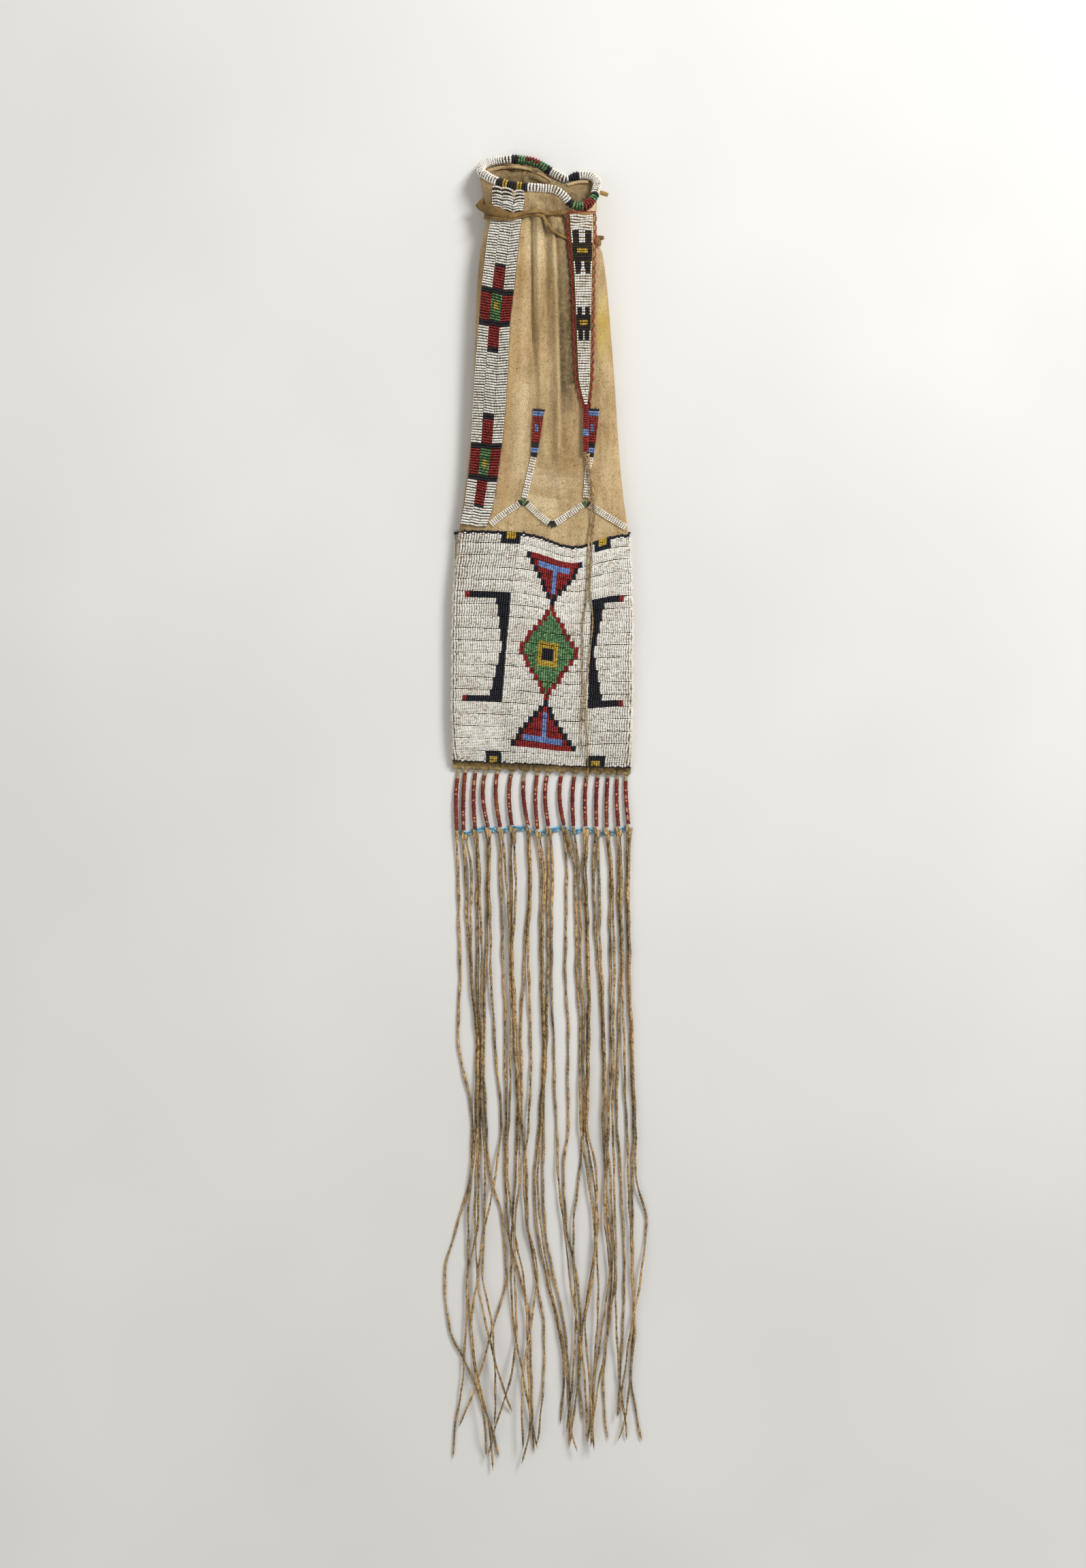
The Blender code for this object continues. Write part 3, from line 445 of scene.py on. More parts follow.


# backing and cores under the beads: thread and hide, darkened as painted shade in the gaps between beads
sinewAndShadeBacking = mottledMaterial("sinewAndShadeBacking", 0.9, 0.2, 300.0, 4.0,
                               [(0.35, (0.16, 0.13, 0.10)), (0.65, (0.35, 0.30, 0.23))])
twistedThong = thongMaterial()
dyedQuill = quillMaterial()
paleQuillEnd = suedeMaterial("bareSlatEnd", [(0.3, (0.58, 0.53, 0.42)), (0.7, (0.74, 0.69, 0.58))])
turquoiseGlass = beadMaterial("turquoiseGlass", [(0.0, (0.20, 0.54, 0.72)), (0.5, (0.34, 0.70, 0.86)),
                                                 (1.0, (0.60, 0.87, 0.96))], 0.2)
print("materials ready:", len(bpy.data.materials))


# beads: one small barrel, stamped along rows

def beadTemplate(around):
    bm = bmesh.new()
    bmesh.ops.create_uvsphere(bm, u_segments=around, v_segments=3, radius=1.0)
    spots = []
    for vert in bm.verts:
        x, y, z = vert.co
        flat = math.hypot(x, y)
        if flat < 0.01:
            spots.append((0.0, math.copysign(0.97, z), 0.0))
        else:
            spots.append((x / flat, math.copysign(0.62, z), y / flat))
    bm.verts.index_update()
    # the turn of the axes mirrors the sphere, so its faces are turned back
    faces = [[v.index for v in face.verts][::-1] for face in bm.faces]
    bm.free()
    return np.array(spots), faces


roundBead = beadTemplate(6)
squareBead = beadTemplate(4)
beadSpread = 0.035


def stampBeads(name, centres, across, through, up, sizes, colours, palette=beadMaterials, template=roundBead):
    # centres in millimetres; through is the direction of a bead's hole; sizes are (across, through, up)
    spots, faces = template
    count, corners = len(centres), len(spots)
    centres, across, through, up = (np.asarray(part, float) for part in (centres, across, through, up))
    sizes = np.broadcast_to(np.asarray(sizes, float), (count, 3)) / 2
    sizes = sizes * (1 + rng.normal(0, beadSpread, (count, 1)))
    verts = (centres[:, None]
             + spots[None, :, 0:1] * (across * sizes[:, 0:1])[:, None]
             + spots[None, :, 1:2] * (through * sizes[:, 1:2])[:, None]
             + spots[None, :, 2:3] * (up * sizes[:, 2:3])[:, None]) * mm
    offsets = (np.arange(count) * corners)[:, None]
    allLoops = (np.concatenate(faces)[None] + offsets).ravel()
    allLengths = np.tile([len(face) for face in faces], count)
    starts = np.concatenate([[0], np.cumsum(allLengths)[:-1]])
    mesh = bpy.data.meshes.new(name)
    mesh.vertices.add(count * corners)
    mesh.vertices.foreach_set("co", verts.ravel())
    mesh.loops.add(len(allLoops))
    mesh.loops.foreach_set("vertex_index", allLoops.astype(np.int32))
    mesh.polygons.add(len(allLengths))
    mesh.polygons.foreach_set("loop_start", starts.astype(np.int32))
    mesh.polygons.foreach_set("material_index", np.repeat(np.asarray(colours, np.int32), len(faces)))
    mesh.polygons.foreach_set("use_smooth", np.ones(len(allLengths), bool))
    paintLayer(mesh, "tone", np.repeat(rng.random(count), corners))
    mesh.update(calc_edges=True)
    mesh.validate()
    for mat in palette:
        mesh.materials.append(mat)
    obj = bpy.data.objects.new(name, mesh)
    scene.collection.objects.link(obj)
    return obj


# camera: straight above, as the photograph was taken

cameraSettings = {"x": 0.9, "y": -124.2, "focus": 15.0, "lens": 100.0, "sensor": 36.0, "height": 1383.0}


def makeCamera():
    data = bpy.data.cameras.new("camera")
    data.lens = cameraSettings["lens"]
    data.sensor_width = cameraSettings["sensor"]
    data.clip_end = 20.0
    camera = bpy.data.objects.new("camera", data)
    distance = cameraSettings["height"] * data.lens / cameraSettings["sensor"]
    spot = (cameraSettings["x"], cameraSettings["y"], cameraSettings["focus"] + distance)
    camera.location = [value * mm for value in spot]
    scene.collection.objects.link(camera)
    scene.camera = camera


makeCamera()


# fringe: slats and tails

fringe = {
    "tailDiameter": 2.2, "tailGap": 0.4, "floorGap": 0.6, "twist": 7.0, "ring": 1.4,
    # how long each tail starts flat, and how much wider it is there
    "flat": (6.0, 0.1), "leaves": {"10b": (26.0, 0.9), "06b": (13.0, 0.5), "04a": (10.0, 0.4)},
    "wide": 2.9, "thick": 2.1, "startApart": 1.25, "secondStart": (0.6, 2.2),
    "slatWidth": 3.3, "quillWidth": 3.7, "slatLift": 0.5, "slatRaise": 1.5, "wrap": 1.3, "wrapRings": 3,
    # of each slat: x at the top, x and y at the lower end
    "slats": [(-73.5, -75.3, -165.3), (-67.5, -69.3, -165.3), (-58.5, -59.1, -164.1), (-49.5, -47.7, -162.1),
              (-39.3, -36.9, -162.3), (-26.7, -26.7, -160.7), (-15.3, -12.3, -161.0), (-3.9, -3.9, -164.0),
              (5.1, 5.7, -161.5), (17.7, 19.5, -161.0), (29.1, 27.9, -161.7), (39.9, 38.7, -161.5),
              (49.5, 48.3, -161.7), (58.5, 57.3, -162.3), (66.9, 67.6, -161.7), (74.1, 76.5, -159.7)],
    # how far down the pale wraps reach, on chosen slats and on the rest
    "bareTops": {1: 8.0, 4: 4.5, 7: 8.5, 15: 3.6, 16: 4.6}, "paleWraps": 2.6,
    # how far the middle of each slat bows to the left
    "bows": [1.8, 1.2, 1.7, 3.6, 2.6, 2.5, 2.4, 2.0, 2.6, 3.0, 1.6, 1.4, 1.0, 0.8, 1.2, 0.8],
    # the line of the two bead strings, and how far each lies from it
    "stringWaves": [(-75.5, -167.6), (-69.0, -168.4), (-59.0, -165.4), (-48.0, -163.6), (-37.0, -166.0),
                    (-26.7, -163.0), (-12.5, -164.0), (-3.9, -168.2), (5.7, -165.6), (19.5, -163.2),
                    (27.6, -166.4), (38.7, -163.8), (48.3, -167.4), (57.3, -167.6), (67.8, -165.6),
                    (76.6, -162.6)],
    "strings": {"upper": 1.1, "lower": -1.3}, "tube": (1.9, 1.75, 1.7),
    # each tail: its x at these places along the bag, then its end
    "places": (-206.7, -278.7, -350.7, -422.7, -467.7, -512.7, -557.7, -602.7, -647.7, -692.7),
    "tails": {
        "01a": ((-74.5, -72.6, -73.9, -61.5, -63.1, -74.3, -86.0, -82.5, -62.5, -45.3), (-38.1, -720.2)),
        "02a": ((-67.8, -64.2, -58.2, -58.8, -62.1, -65.4, -65.6, -63.3, -56.7, -46.8), (-42.9, -731.6)),
        "02b": ((-62.5, -62.8, -56.7, -56.9, -58.4, -59.2, -57.1, -49.5, -37.1), (-26.8, -679.9)),
        "03a": ((-56.9, -57.3, -55.4, -55.0, -55.5, -57.1, -65.4, -67.5, -69.5, -77.0), (-78.4, -721.3)),
        "03b": ((-55.4, -53.5, -53.1, -52.7, -49.9, -51.5, -52.2, -44.3, -41.0), (-42.2, -691.3)),
        "04a": ((-48.1, -49.6, -51.5, -49.6, -46.0, -34.8, -31.7, -42.7, -55.7), (-73.2, -692.3)),
        "04b": ((-46.6, -45.4, -42.0, -36.2, -40.6, -50.1, -56.7, -62.5, -58.4, -50.1), (-48.9, -719.2)),
        "05a": ((-36.6, -34.3, -32.4, -32.0, -32.9, -30.9, -20.6, -10.2, -9.6, -7.9), (-7.1, -715.7)),
        "05b": ((-31.5, -28.0, -27.1, -29.5, -30.7, -25.7, -17.0, -12.9, -12.3, -10.2), (-18.5, -725.4)),
        "06a": ((-27.1, -27.1, -24.4, -21.9, -23.7, -26.1, -27.8, -24.7, -17.0, -7.7), (-4.6, -712.0)),
        "06b": ((-23.2, -25.9, -21.9, -19.8, -19.9, -23.7, -24.3, -22.2, -27.8, -41.2), (-48.4, -719.2)),
        "07a": ((-11.4, -15.6, -18.6, -17.5, -13.7, -12.3, -6.1, 1.6, 1.6, -2.4), (-4.6, -706.8)),
        "07b": ((-10.2, -12.3, -9.8, -11.4, -16.2, -12.9, -4.2, -9.6, -17.0, -17.5), (-17.0, -712.0)),
        "08a": ((-0.8, -1.4, 0.9, -2.2, -6.7, -5.5, 3.2, 13.5, 19.7), (15.6, -690.7)),
        "08b": ((2.4, 0.5, 2.4, -0.3, -3.8, -1.3, 5.7, 15.2, 22.2, 25.1), (31.1, -714.0)),
        "09a": ((5.5, 5.3, 3.9, 1.3, 1.1, 2.0, 10.4, 19.3, 23.9, 24.3), (23.9, -712.0)),
        "09b": ((9.3, 8.3, 10.1, 12.5, 14.4, 19.1, 24.5, 30.9, 37.9, 39.2), (39.4, -705.8)),
        "10a": ((22.1, 20.6, 23.1, 23.1, 19.3, 21.0, 30.5, 33.8, 32.1), (35.6, -687.8)),
        "10b": ((29.4, 30.4, 33.6, 33.8, 40.4, 45.8, 49.7, 48.7, 46.2, 43.9), (43.5, -709.9)),
        "11a": ((33.0, 34.2, 36.8, 36.6, 33.2, 28.0, 28.4, 30.1, 27.0), (21.8, -697.5)),
        "12a": ((36.8, 39.9, 39.9, 38.4, 44.1, 49.5, 42.9, 36.3, 32.5, 27.0), (24.9, -707.8)),
        "12b": ((39.1, 41.4, 41.8, 39.9, 47.8, 48.2, 44.9, 38.3, 41.4, 44.9), (45.6, -713.0)),
        "13a": ((45.5, 49.1, 53.7, 54.3, 55.3, 59.0, 61.5, 58.6, 54.4, 56.5), (58.0, -705.0)),
        "13b": ((50.2, 52.0, 55.2, 56.0, 59.8, 62.3, 64.2, 59.4, 51.1, 44.5), (42.5, -709.9)),
        "14a": ((60.2, 60.2, 60.8, 59.0, 56.5, 55.7, 59.8, 53.2, 47.0, 41.6), (40.0, -705.8)),
        "14b": ((61.7, 63.8, 63.2, 62.5, 63.5, 64.8, 65.2, 65.6, 68.5, 73.9), (74.5, -704.7)),
        "15a": ((67.5, 69.8, 67.5, 66.1, 69.7, 71.4, 73.2, 71.4, 69.3), (66.8, -683.4)),
        "15b": ((69.9, 71.1, 72.4, 74.7, 76.3, 78.0, 80.1, 81.7, 78.4, 71.4), (67.3, -705.0)),
        "16a": ((75.1, 75.9, 78.2, 80.5, 80.1, 79.7, 80.9, 80.9, 78.8, 85.4), (88.3, -706.0)),
        "16b": ((76.6, 77.4, 79.7, 82.4, 83.0, 92.1, 87.9, 79.2, 72.6), (66.2, -683.0)),
    },
}


def slatHeight(share):
    # height of a slat's middle, rising from the band to the thongs
    return fringe["slatWidth"] / 2 + fringe["slatLift"] + fringe["slatRaise"] * share


def tailRoute(key):
    xs, end = fringe["tails"][key]
    _, endX, endY = fringe["slats"][int(key[:2]) - 1]
    # the second tail of a thong starts a little to the right and lower
    right, lower = fringe["secondStart"] if key.endswith("b") else (0.0, 0.0)
    first = (endX + right, endY - 0.6 - lower)
    return [first] + list(zip(xs, fringe["places"])) + [end]


def tailHeights(routes):
    # a tail lies on the table, or over every tail laid before it that it comes too near to
    clear = fringe["tailDiameter"] + fringe["tailGap"]
    heights = {}
    for key in sorted(routes, key=lambda k: (k[2], k)):
        route = routes[key]
        z = [fringe["floorGap"] + fringe["tailDiameter"] / 2] * len(route)
        z[0] = slatHeight(1)
        for other, otherZ in heights.items():
            otherRoute = routes[other]
            for i in range(1, min(len(route), len(otherRoute)) - 1):
                first, last = (route[j][0] - otherRoute[j][0] for j in (i, i + 1))
                if first * last < 0 or min(abs(first), abs(last)) < clear:
                    for j in (i, i + 1):
                        z[j] = max(z[j], otherZ[j] + clear)
        heights[key] = z
    return heights


def twistedCord(name, node, path, wide, thick, settings):
    # strip of hide twisted about its own length, flat at its start and frayed thin at its end
    path, length = evenly(path, settings["ring"])
    run = np.linspace(0, length, len(path))
    phase = rng.random() * 6
    pitch = settings["twist"] * (1 + 0.25 * np.sin(run / 37 + phase) + 0.15 * np.sin(run / 11 + 2 * phase))
    turn = np.cumsum(2 * math.pi / pitch * (length / (len(path) - 1)))
    turn = turn * np.clip((run - settings["flat"]) / 8.0, 0, 1) ** 0.5 * (1 if rng.random() < 0.85 else -1)
    taper = 1.0 - 0.28 * (run / length)
    lump = 1 + 0.12 * np.sin(run / 4.3 + phase) + 0.10 * np.sin(run / 9.1 + 3 * phase)
    startFlat = np.clip(1 - run / (settings["flat"] + 4.0), 0, 1)
    tip = np.clip((length - run) / 5.0, 0.25, 1)
    half = wide / 2 * taper * lump * (1 + settings["spread"] * startFlat) * tip
    deep = thick / 2 * taper * lump * (1 - 0.3 * startFlat) * tip
    section = [(half * c, deep * s) for c, s in circle(6)]
    cord = skin(name, turnedRings(path, section, turn), twistedThong, length)
    place(cord, node)


def makeTails():
    routes = {key: tailRoute(key) for key in fringe["tails"]}
    heights = tailHeights(routes)
    for key, route in routes.items():
        points = np.array([(x, y, z) for (x, y), z in zip(route, heights[key])])
        order = smoothThrough(-points[:, 1], points[:, [0, 2]])
        down = np.linspace(-points[0, 1], -points[-1, 1], 500)
        xz = order(down)
        number = float(key[:2])
        drift = 0.35 * np.sin(down / 13 + len(key) + number) + 0.2 * np.sin(down / 5.3 + number * 2)
        drift *= np.clip((down - down[0]) / 30, 0, 1)
        # the two tails of a thong start side by side
        if key[:2] + "b" in fringe["tails"]:
            drift += (1 if key.endswith("b") else -1) * fringe["startApart"] * np.exp(-(down - down[0]) / 14)
        path = np.stack([xz[:, 0] + drift, -down, xz[:, 1]], axis=1)
        flat, spread = fringe["leaves"].get(key, fringe["flat"])
        settings = {"ring": fringe["ring"], "twist": fringe["twist"], "flat": flat, "spread": spread}
        twistedCord("tail_" + key, "fringe_thong_" + key[:2], path, fringe["wide"], fringe["thick"],
                    settings)
    print("fringe tails:", len(routes))


makeTails()


# the hide pouch

bag = {
    "hide": 1.5, "lip": 0.5, "backSquare": 6.0, "frontColumns": 128, "backColumns": 56,
    # stretches of rings along the outside and back down the inside: from, to and step
    "outerRings": [(-106.2, 96, 10.0), (97, 340, 2.4), (340, 402.0, 1.3)],
    "innerRings": [(400.5, 368, -1.5), (366, 340, -3.0), (335, -95, -14.0)], "innerEnd": -101.0,
    # above this the back wall is soft, and the front from this up sags between its folds
    "softBack": 350, "softFront": 100,
    # place along the bag, left, right, underside, side height, front height, squareness
    "sections": [
        (-106.2, -78.0, 78.5, 2.7, 4.4, 6.2, 8.0), (-100.0, -78.4, 79.0, 2.7, 5.2, 8.6, 7.0),
        (-85.0, -78.6, 79.2, 2.7, 6.4, 11.6, 6.0), (-50.0, -78.8, 79.4, 2.7, 7.4, 14.0, 5.0),
        (20.0, -78.2, 79.2, 2.7, 8.0, 15.5, 5.0), (98.5, -73.2, 75.8, 2.7, 8.8, 17.2, 4.2),
        (110.0, -71.4, 74.4, 1.2, 8.8, 18.0, 3.8), (135.0, -68.1, 71.1, 0.0, 9.0, 19.8, 3.2),
        (180.0, -63.4, 67.2, 0.0, 10.0, 22.4, 2.8), (225.0, -60.8, 64.5, 0.0, 11.0, 24.8, 2.6),
        (270.0, -59.0, 61.0, 0.0, 12.0, 26.8, 2.5), (312.0, -57.3, 57.6, 0.0, 13.0, 28.8, 2.4),
        (345.0, -54.4, 53.2, 0.0, 13.5, 30.0, 2.4),
        (361.0, -51.5, 50.0, 1.2, 13.5, 29.4, 2.4), (375.0, -48.6, 46.6, 2.8, 13.0, 27.6, 2.4),
        (388.0, -50.6, 47.6, 2.9, 13.5, 29.8, 2.4), (402.0, -55.0, 48.6, 3.6, 14.0, 32.5, 2.3)],
    "neckLine": [(-55, 361), (-20, 362), (20, 362), (35, 357), (52, 350)],
    "tieLine": [(-50, 374), (-25, 374), (-10, 377), (22, 375.5), (35, 366), (48, 358)],
    "frontEdge": [(-58, 412), (-48, 404.5), (-38, 399.5), (-25, 396.5), (-10, 394.8), (9, 393.6),
                  (16, 389.5), (22, 382.5), (30, 379.2), (39, 379.0), (45, 383.5), (50, 393)],
    "backEdge": [(-58, 415), (-50, 420), (-40, 422.5), (-26, 424), (-9, 422.2), (3, 415.5), (12, 409.5),
                 (21, 405), (27, 408), (35, 410.5), (43, 410), (50, 402)],
    "bottomSlope": -0.038,
    "pleatDepth": [(150, 0.0), (190, 0.25), (250, 0.8), (320, 1.2), (362, 1.7), (376, 2.0), (425, 1.5)],
    "pleats": 4.5, "pleatShare": 0.45, "stripSide": -0.36,
    "gathers": [(150, 0.0), (230, 0.25), (300, 0.6), (350, 1.0), (378, 1.5), (400, 1.2), (425, 0.7)],
    # folds below the tie: x at the upper end, x at the lower end, sideways bow, upper end, lower end,
    # height, half width on the left, half width on the right
    "folds": [(-16.5, -28.0, 0.0, 376, 118, 2.0, 4.0, 4.5), (-9.6, -6.4, -0.8, 374, 225, -3.2, 1.4, 1.1),
              (-2.8, 0.6, -1.0, 374, 150, 2.4, 2.8, 4.0), (3.9, 5.0, 0.0, 374, 235, -1.2, 1.8, 2.0),
              (9.9, 15.9, 1.3, 372, 120, 4.6, 5.0, 1.1), (22.0, 25.0, 0.0, 376, 140, -2.8, 4.0, 5.5),
              (44.0, 52.0, 0.0, 366, 200, 1.6, 2.0, 5.0), (33.0, 37.0, 0.0, 230, 120, -1.2, 5.0, 5.0),
              (-9.0, -18.0, 0.0, 300, 120, -1.4, 3.0, 2.5), (-30.0, -38.0, 0.0, 372, 120, -0.8, 3.0, 3.0)],
    # darker stretches of the front, partly soiling and partly painted shade in creases, under the tie
    # and the roll, beside the drop and along the left edge: x and y of the upper end, x and y of the lower
    # end, half width on the left, half width on the right, depth
    "soil": [(-9.2, 352, -8.0, 300, 0.9, 1.4, 0.60), (-8.0, 300, -6.2, 264, 0.7, 1.0, 0.50),
             (-7.6, 276, -8.8, 262, 0.5, 0.5, 0.45), (3.6, 350, 4.8, 262, 1.0, 1.5, 0.35),
             (-10.0, 372, -9.0, 352, 4.0, 4.0, 0.35), (13.2, 364, 14.9, 285, 0.8, 9.5, 0.75),
             (14.9, 285, 16.6, 222, 0.5, 9.5, 0.92), (16.6, 222, 18.6, 172, 0.8, 7.5, 0.50),
             (15.0, 165, 48.0, 152, 3.0, 3.0, 0.20), (-46.0, 390, 52.0, 370, 5.0, 5.0, 0.42),
             (-54.0, 380, -60.0, 300, 3.2, 3.2, 0.45), (-60.0, 300, -69.0, 110, 2.4, 2.4, 0.35),
             (4.0, 372, 22.0, 366, 4.0, 5.0, 0.50), (-30.0, 374, 4.0, 371, 3.0, 3.0, 0.50),
             (-2.0, 391, 26.0, 381, 4.0, 4.0, 0.60), (-14.0, 384, 10.0, 381, 3.0, 3.0, 0.35),
             (47.5, 362, 47.0, 290, 2.2, 2.2, 0.35), (-20.0, 330, -22.0, 290, 1.6, 1.6, 0.22),
             (2.0, 250, 4.0, 205, 3.0, 3.0, 0.15), (5.5, 350, 9.0, 325, 3.0, 3.0, 0.30),
             (53.0, 325, 55.0, 225, 6.0, 6.0, 0.14),
             # painted shade in the creases of the back wall, seen through the mouth
             (-13.0, 417.4, -2.0, 412.4, 1.1, 1.1, 0.95), (-2.0, 412.4, 8.0, 405.6, 1.2, 1.2, 0.95),
             (8.0, 405.6, 18.0, 398.6, 1.4, 1.4, 0.95), (-15.0, 415.0, -25.0, 403.0, 1.6, 1.6, 0.70),
             (-13.0, 413.0, -3.0, 403.0, 1.8, 1.8, 0.80), (-16.0, 417.0, -34.0, 412.0, 1.4, 1.4, 0.55),
             (-47.0, 415.0, -36.0, 405.0, 1.8, 1.8, 0.45), (33.0, 393.4, 37.0, 392.2, 1.8, 1.8, 1.0),
             (24.0, 404.0, 30.0, 396.0, 1.3, 1.3, 0.60), (41.0, 405.0, 43.0, 394.0, 1.6, 1.6, 0.60)],
    # inside the mouth: the folds of the back wall spread from here, and painted shade darkens the inside this
    # strongly
    "mouthFolds": (-15.3, 417.3), "mouthShade": 0.70, "mouthFold": 2.4,
    # x, y and width of the turned edges
    "hems": {"left": [(-51.0, 416.0, 2.4), (-44.0, 419.0, 3.0), (-34.0, 421.2, 3.2), (-22.0, 420.8, 3.0),
                      (-13.0, 419.6, 2.4), (-2.0, 415.6, 2.6), (8.0, 408.6, 2.4)],
             "right": [(22.0, 405.2, 2.4), (27.0, 407.0, 3.0), (34.0, 408.4, 3.2), (41.0, 408.2, 2.6)]},
    "gold": [(-15.0, 368, -24.5, 250, 4.0, 4.0, 0.5), (-24.5, 250, -34.0, 120, 4.5, 4.5, 0.35),
             (60.0, 330, 76.0, 120, 4.0, 4.0, 0.40), (22.0, 190, 24.0, 150, 6.0, 6.0, 0.25)],
    # painted deep shadow beside the drop and under the tie
    "shade": [(24.5, 350, 26.0, 230, 5.5, 5.0, 0.80), (25.5, 230, 24.0, 208, 5.0, 5.0, 0.45),
              (14.6, 330, 15.9, 285, 0.8, 8.0, 0.35), (15.9, 285, 18.2, 222, 0.8, 9.0, 0.55),
              (0.5, 366, 26.0, 356, 6.0, 3.0, 0.65)],
    # painted light that lightens places on the lower front
    "pale": [(-17.0, 224, -19.0, 150, 8.0, 8.0, 0.42), (-8.0, 146, 18.0, 140, 9.0, 9.0, 0.42),
             (-12.0, 126, 8.0, 120, 8.0, 8.0, 0.50)],
    "wrinkle": [(14.0, 152, 24.0, 118, 30.0, 30.0, 0.75)],
}
levels = np.array([row[0] for row in bag["sections"]])
shapeAt = smoothThrough(levels, [row[1:] for row in bag["sections"]])
# a place across the front, u, runs from 0 at its left edge to this at its right edge, likewise on the back
frontUnits = 34
backUnits = 12


def rowPlace(k, x, back):
    # where a row of the sections lies along the bag: the first two follow the slope of the bottom, the last
    # four the neck, the tie, a line between the tie and the edge, and the edge of the mouth
    if k < 2:
        return levels[k] + bag["bottomSlope"] * x
    if k < 13:
        return np.full_like(x, levels[k])
    if k == 13:
        return interp(x, bag["neckLine"])
    tie = interp(x, bag["tieLine"])
    edge = interp(x, bag["frontEdge"]) * (1 - back) + interp(x, bag["backEdge"]) * back
    if k == 14:
        return tie
    return tie * 0.55 + edge * 0.45 if k == 15 else edge


def placeAlong(t, x, back):
    k = int(np.clip(np.searchsorted(levels, t, "right") - 1, 0, len(levels) - 2))
    share = (t - levels[k]) / (levels[k + 1] - levels[k])
    return rowPlace(k, x, back) * (1 - share) + rowPlace(k + 1, x, back) * share


def halfSection(shape, front, count):
    left, right, under, edge, top, square = shape
    rise = top - edge if front else under - edge
    power = 2 / (square if front else bag["backSquare"])
    a = math.pi * (1 - np.arange(481) / 480)
    c, s = np.cos(a), np.clip(np.sin(a), 0, 1)
    x = (left + right) / 2 + (right - left) / 2 * np.sign(c) * np.abs(c) ** power
    z = edge + rise * s ** power
    run = np.concatenate([[0], np.cumsum(np.hypot(np.diff(x), np.diff(z)))])
    want = np.linspace(0, run[-1], count + 1)
    return np.interp(want, run, x), np.interp(want, run, z)


def gather(x, y, shape):
    # height of the gathers out of the section
    left, right = shape[0], shape[1]
    across = (x - (left + right) / 2) / ((right - left) / 2)
    fade = np.clip(1 - np.abs(across) ** 4, 0, 1) * np.clip((across - bag["stripSide"]) / 0.16, 0, 1)
    wave = np.cos(math.pi * bag["pleats"] * across + 0.9 + 0.5 * np.sin(3.1 * across))
    broad = interp(y, bag["pleatDepth"]) * (wave - 0.6) * bag["pleatShare"]
    for topX, lowX, bow, top, low, height, leftHalf, rightHalf in bag["folds"]:
        share = (y - low) / (top - low)
        middle = lowX + (topX - lowX) * share + bow * np.sin(math.pi * np.clip(share, 0, 1))
        rise = np.clip((y - low) / 60, 0, 1)
        rise = rise * rise * (3 - 2 * rise) * np.clip((top + 10 - y) / 10, 0, 1)
        half = np.where(x < middle, leftHalf, rightHalf)
        broad = broad + height * rise * np.exp(-((x - middle) / half) ** 2)
    fine = noiseAt(x / 6.5 + y / 160, y / 60, 3.0) + 0.5 * noiseAt(x / 3.0, y / 35, 9.0)
    sag = noiseAt(x / 26, y / 70, 5.0)
    slack = np.clip((y - bag["softFront"]) / 40, 0, 1)
    return fade * (broad + interp(y, bag["gathers"]) * fine + 1.1 * slack * sag)


def softStretches(x, y, stretches):
    # how strongly each point lies in a list of soft straight stretches
    total = np.zeros(len(x))
    for x0, y0, x1, y1, leftHalf, rightHalf, depth in stretches:
        dx, dy = x1 - x0, y1 - y0
        share = np.clip(((x - x0) * dx + (y - y0) * dy) / (dx * dx + dy * dy), 0, 1)
        far = np.hypot(x - x0 - share * dx, y - y0 - share * dy)
        half = np.where(x < x0 + share * dx, leftHalf, rightHalf)
        total = np.maximum(total, depth * np.exp(-(far / half) ** 2))
    return total


def hideRing(t, depth):
    # one ring of the pouch: over the front from the left edge, then back under
    shape = shapeAt([t])[0]
    nf, nb = bag["frontColumns"], bag["backColumns"]
    fx, fz = halfSection(shape, True, nf)
    bx, bz = halfSection(shape, False, nb)
    x = np.concatenate([fx, bx[-2:0:-1]])
    z = np.concatenate([fz, bz[-2:0:-1]])
    unitsFront = np.arange(nf + 1) * frontUnits / nf
    unitsBack = np.arange(nb - 1, 0, -1) * backUnits / nb
    # share of the back in a place's height along the bag, half at the side edges
    fromFront = 0.5 * np.clip(1 - np.minimum(unitsFront, frontUnits - unitsFront), 0, 1)
    fromBack = 0.5 + 0.5 * np.clip(np.minimum(unitsBack, backUnits - unitsBack), 0, 1)
    y = placeAlong(t, x, np.concatenate([fromFront, fromBack]))
    ahead = unit(np.stack([np.roll(x, -1) - np.roll(x, 1), np.roll(z, -1) - np.roll(z, 1)], axis=1))
    front = np.concatenate([np.ones(nf + 1), np.zeros(nb - 1)])
    crumple = np.clip((t - bag["softBack"]) / 30, 0, 1) * (1 - front)
    fold = gather(x, y, shape) * front + crumple * (0.8 * noiseAt(x / 11, y / 16, 1.0))
    if t > bag["softBack"]:
        # soft folds of the back wall, which spread like spokes
        hubX, hubY = bag["mouthFolds"]
        turn = np.arctan2(x - hubX, hubY - y)
        away = np.clip(np.hypot(x - hubX, y - hubY) / 8, 0, 1)
        fold = fold + crumple * away * bag["mouthFold"] * noiseAt(3.2 * turn, y / 60, 4.0) * 2
    move = fold - depth
    return np.stack([x - ahead[:, 1] * move, y, z + ahead[:, 0] * move], axis=1)


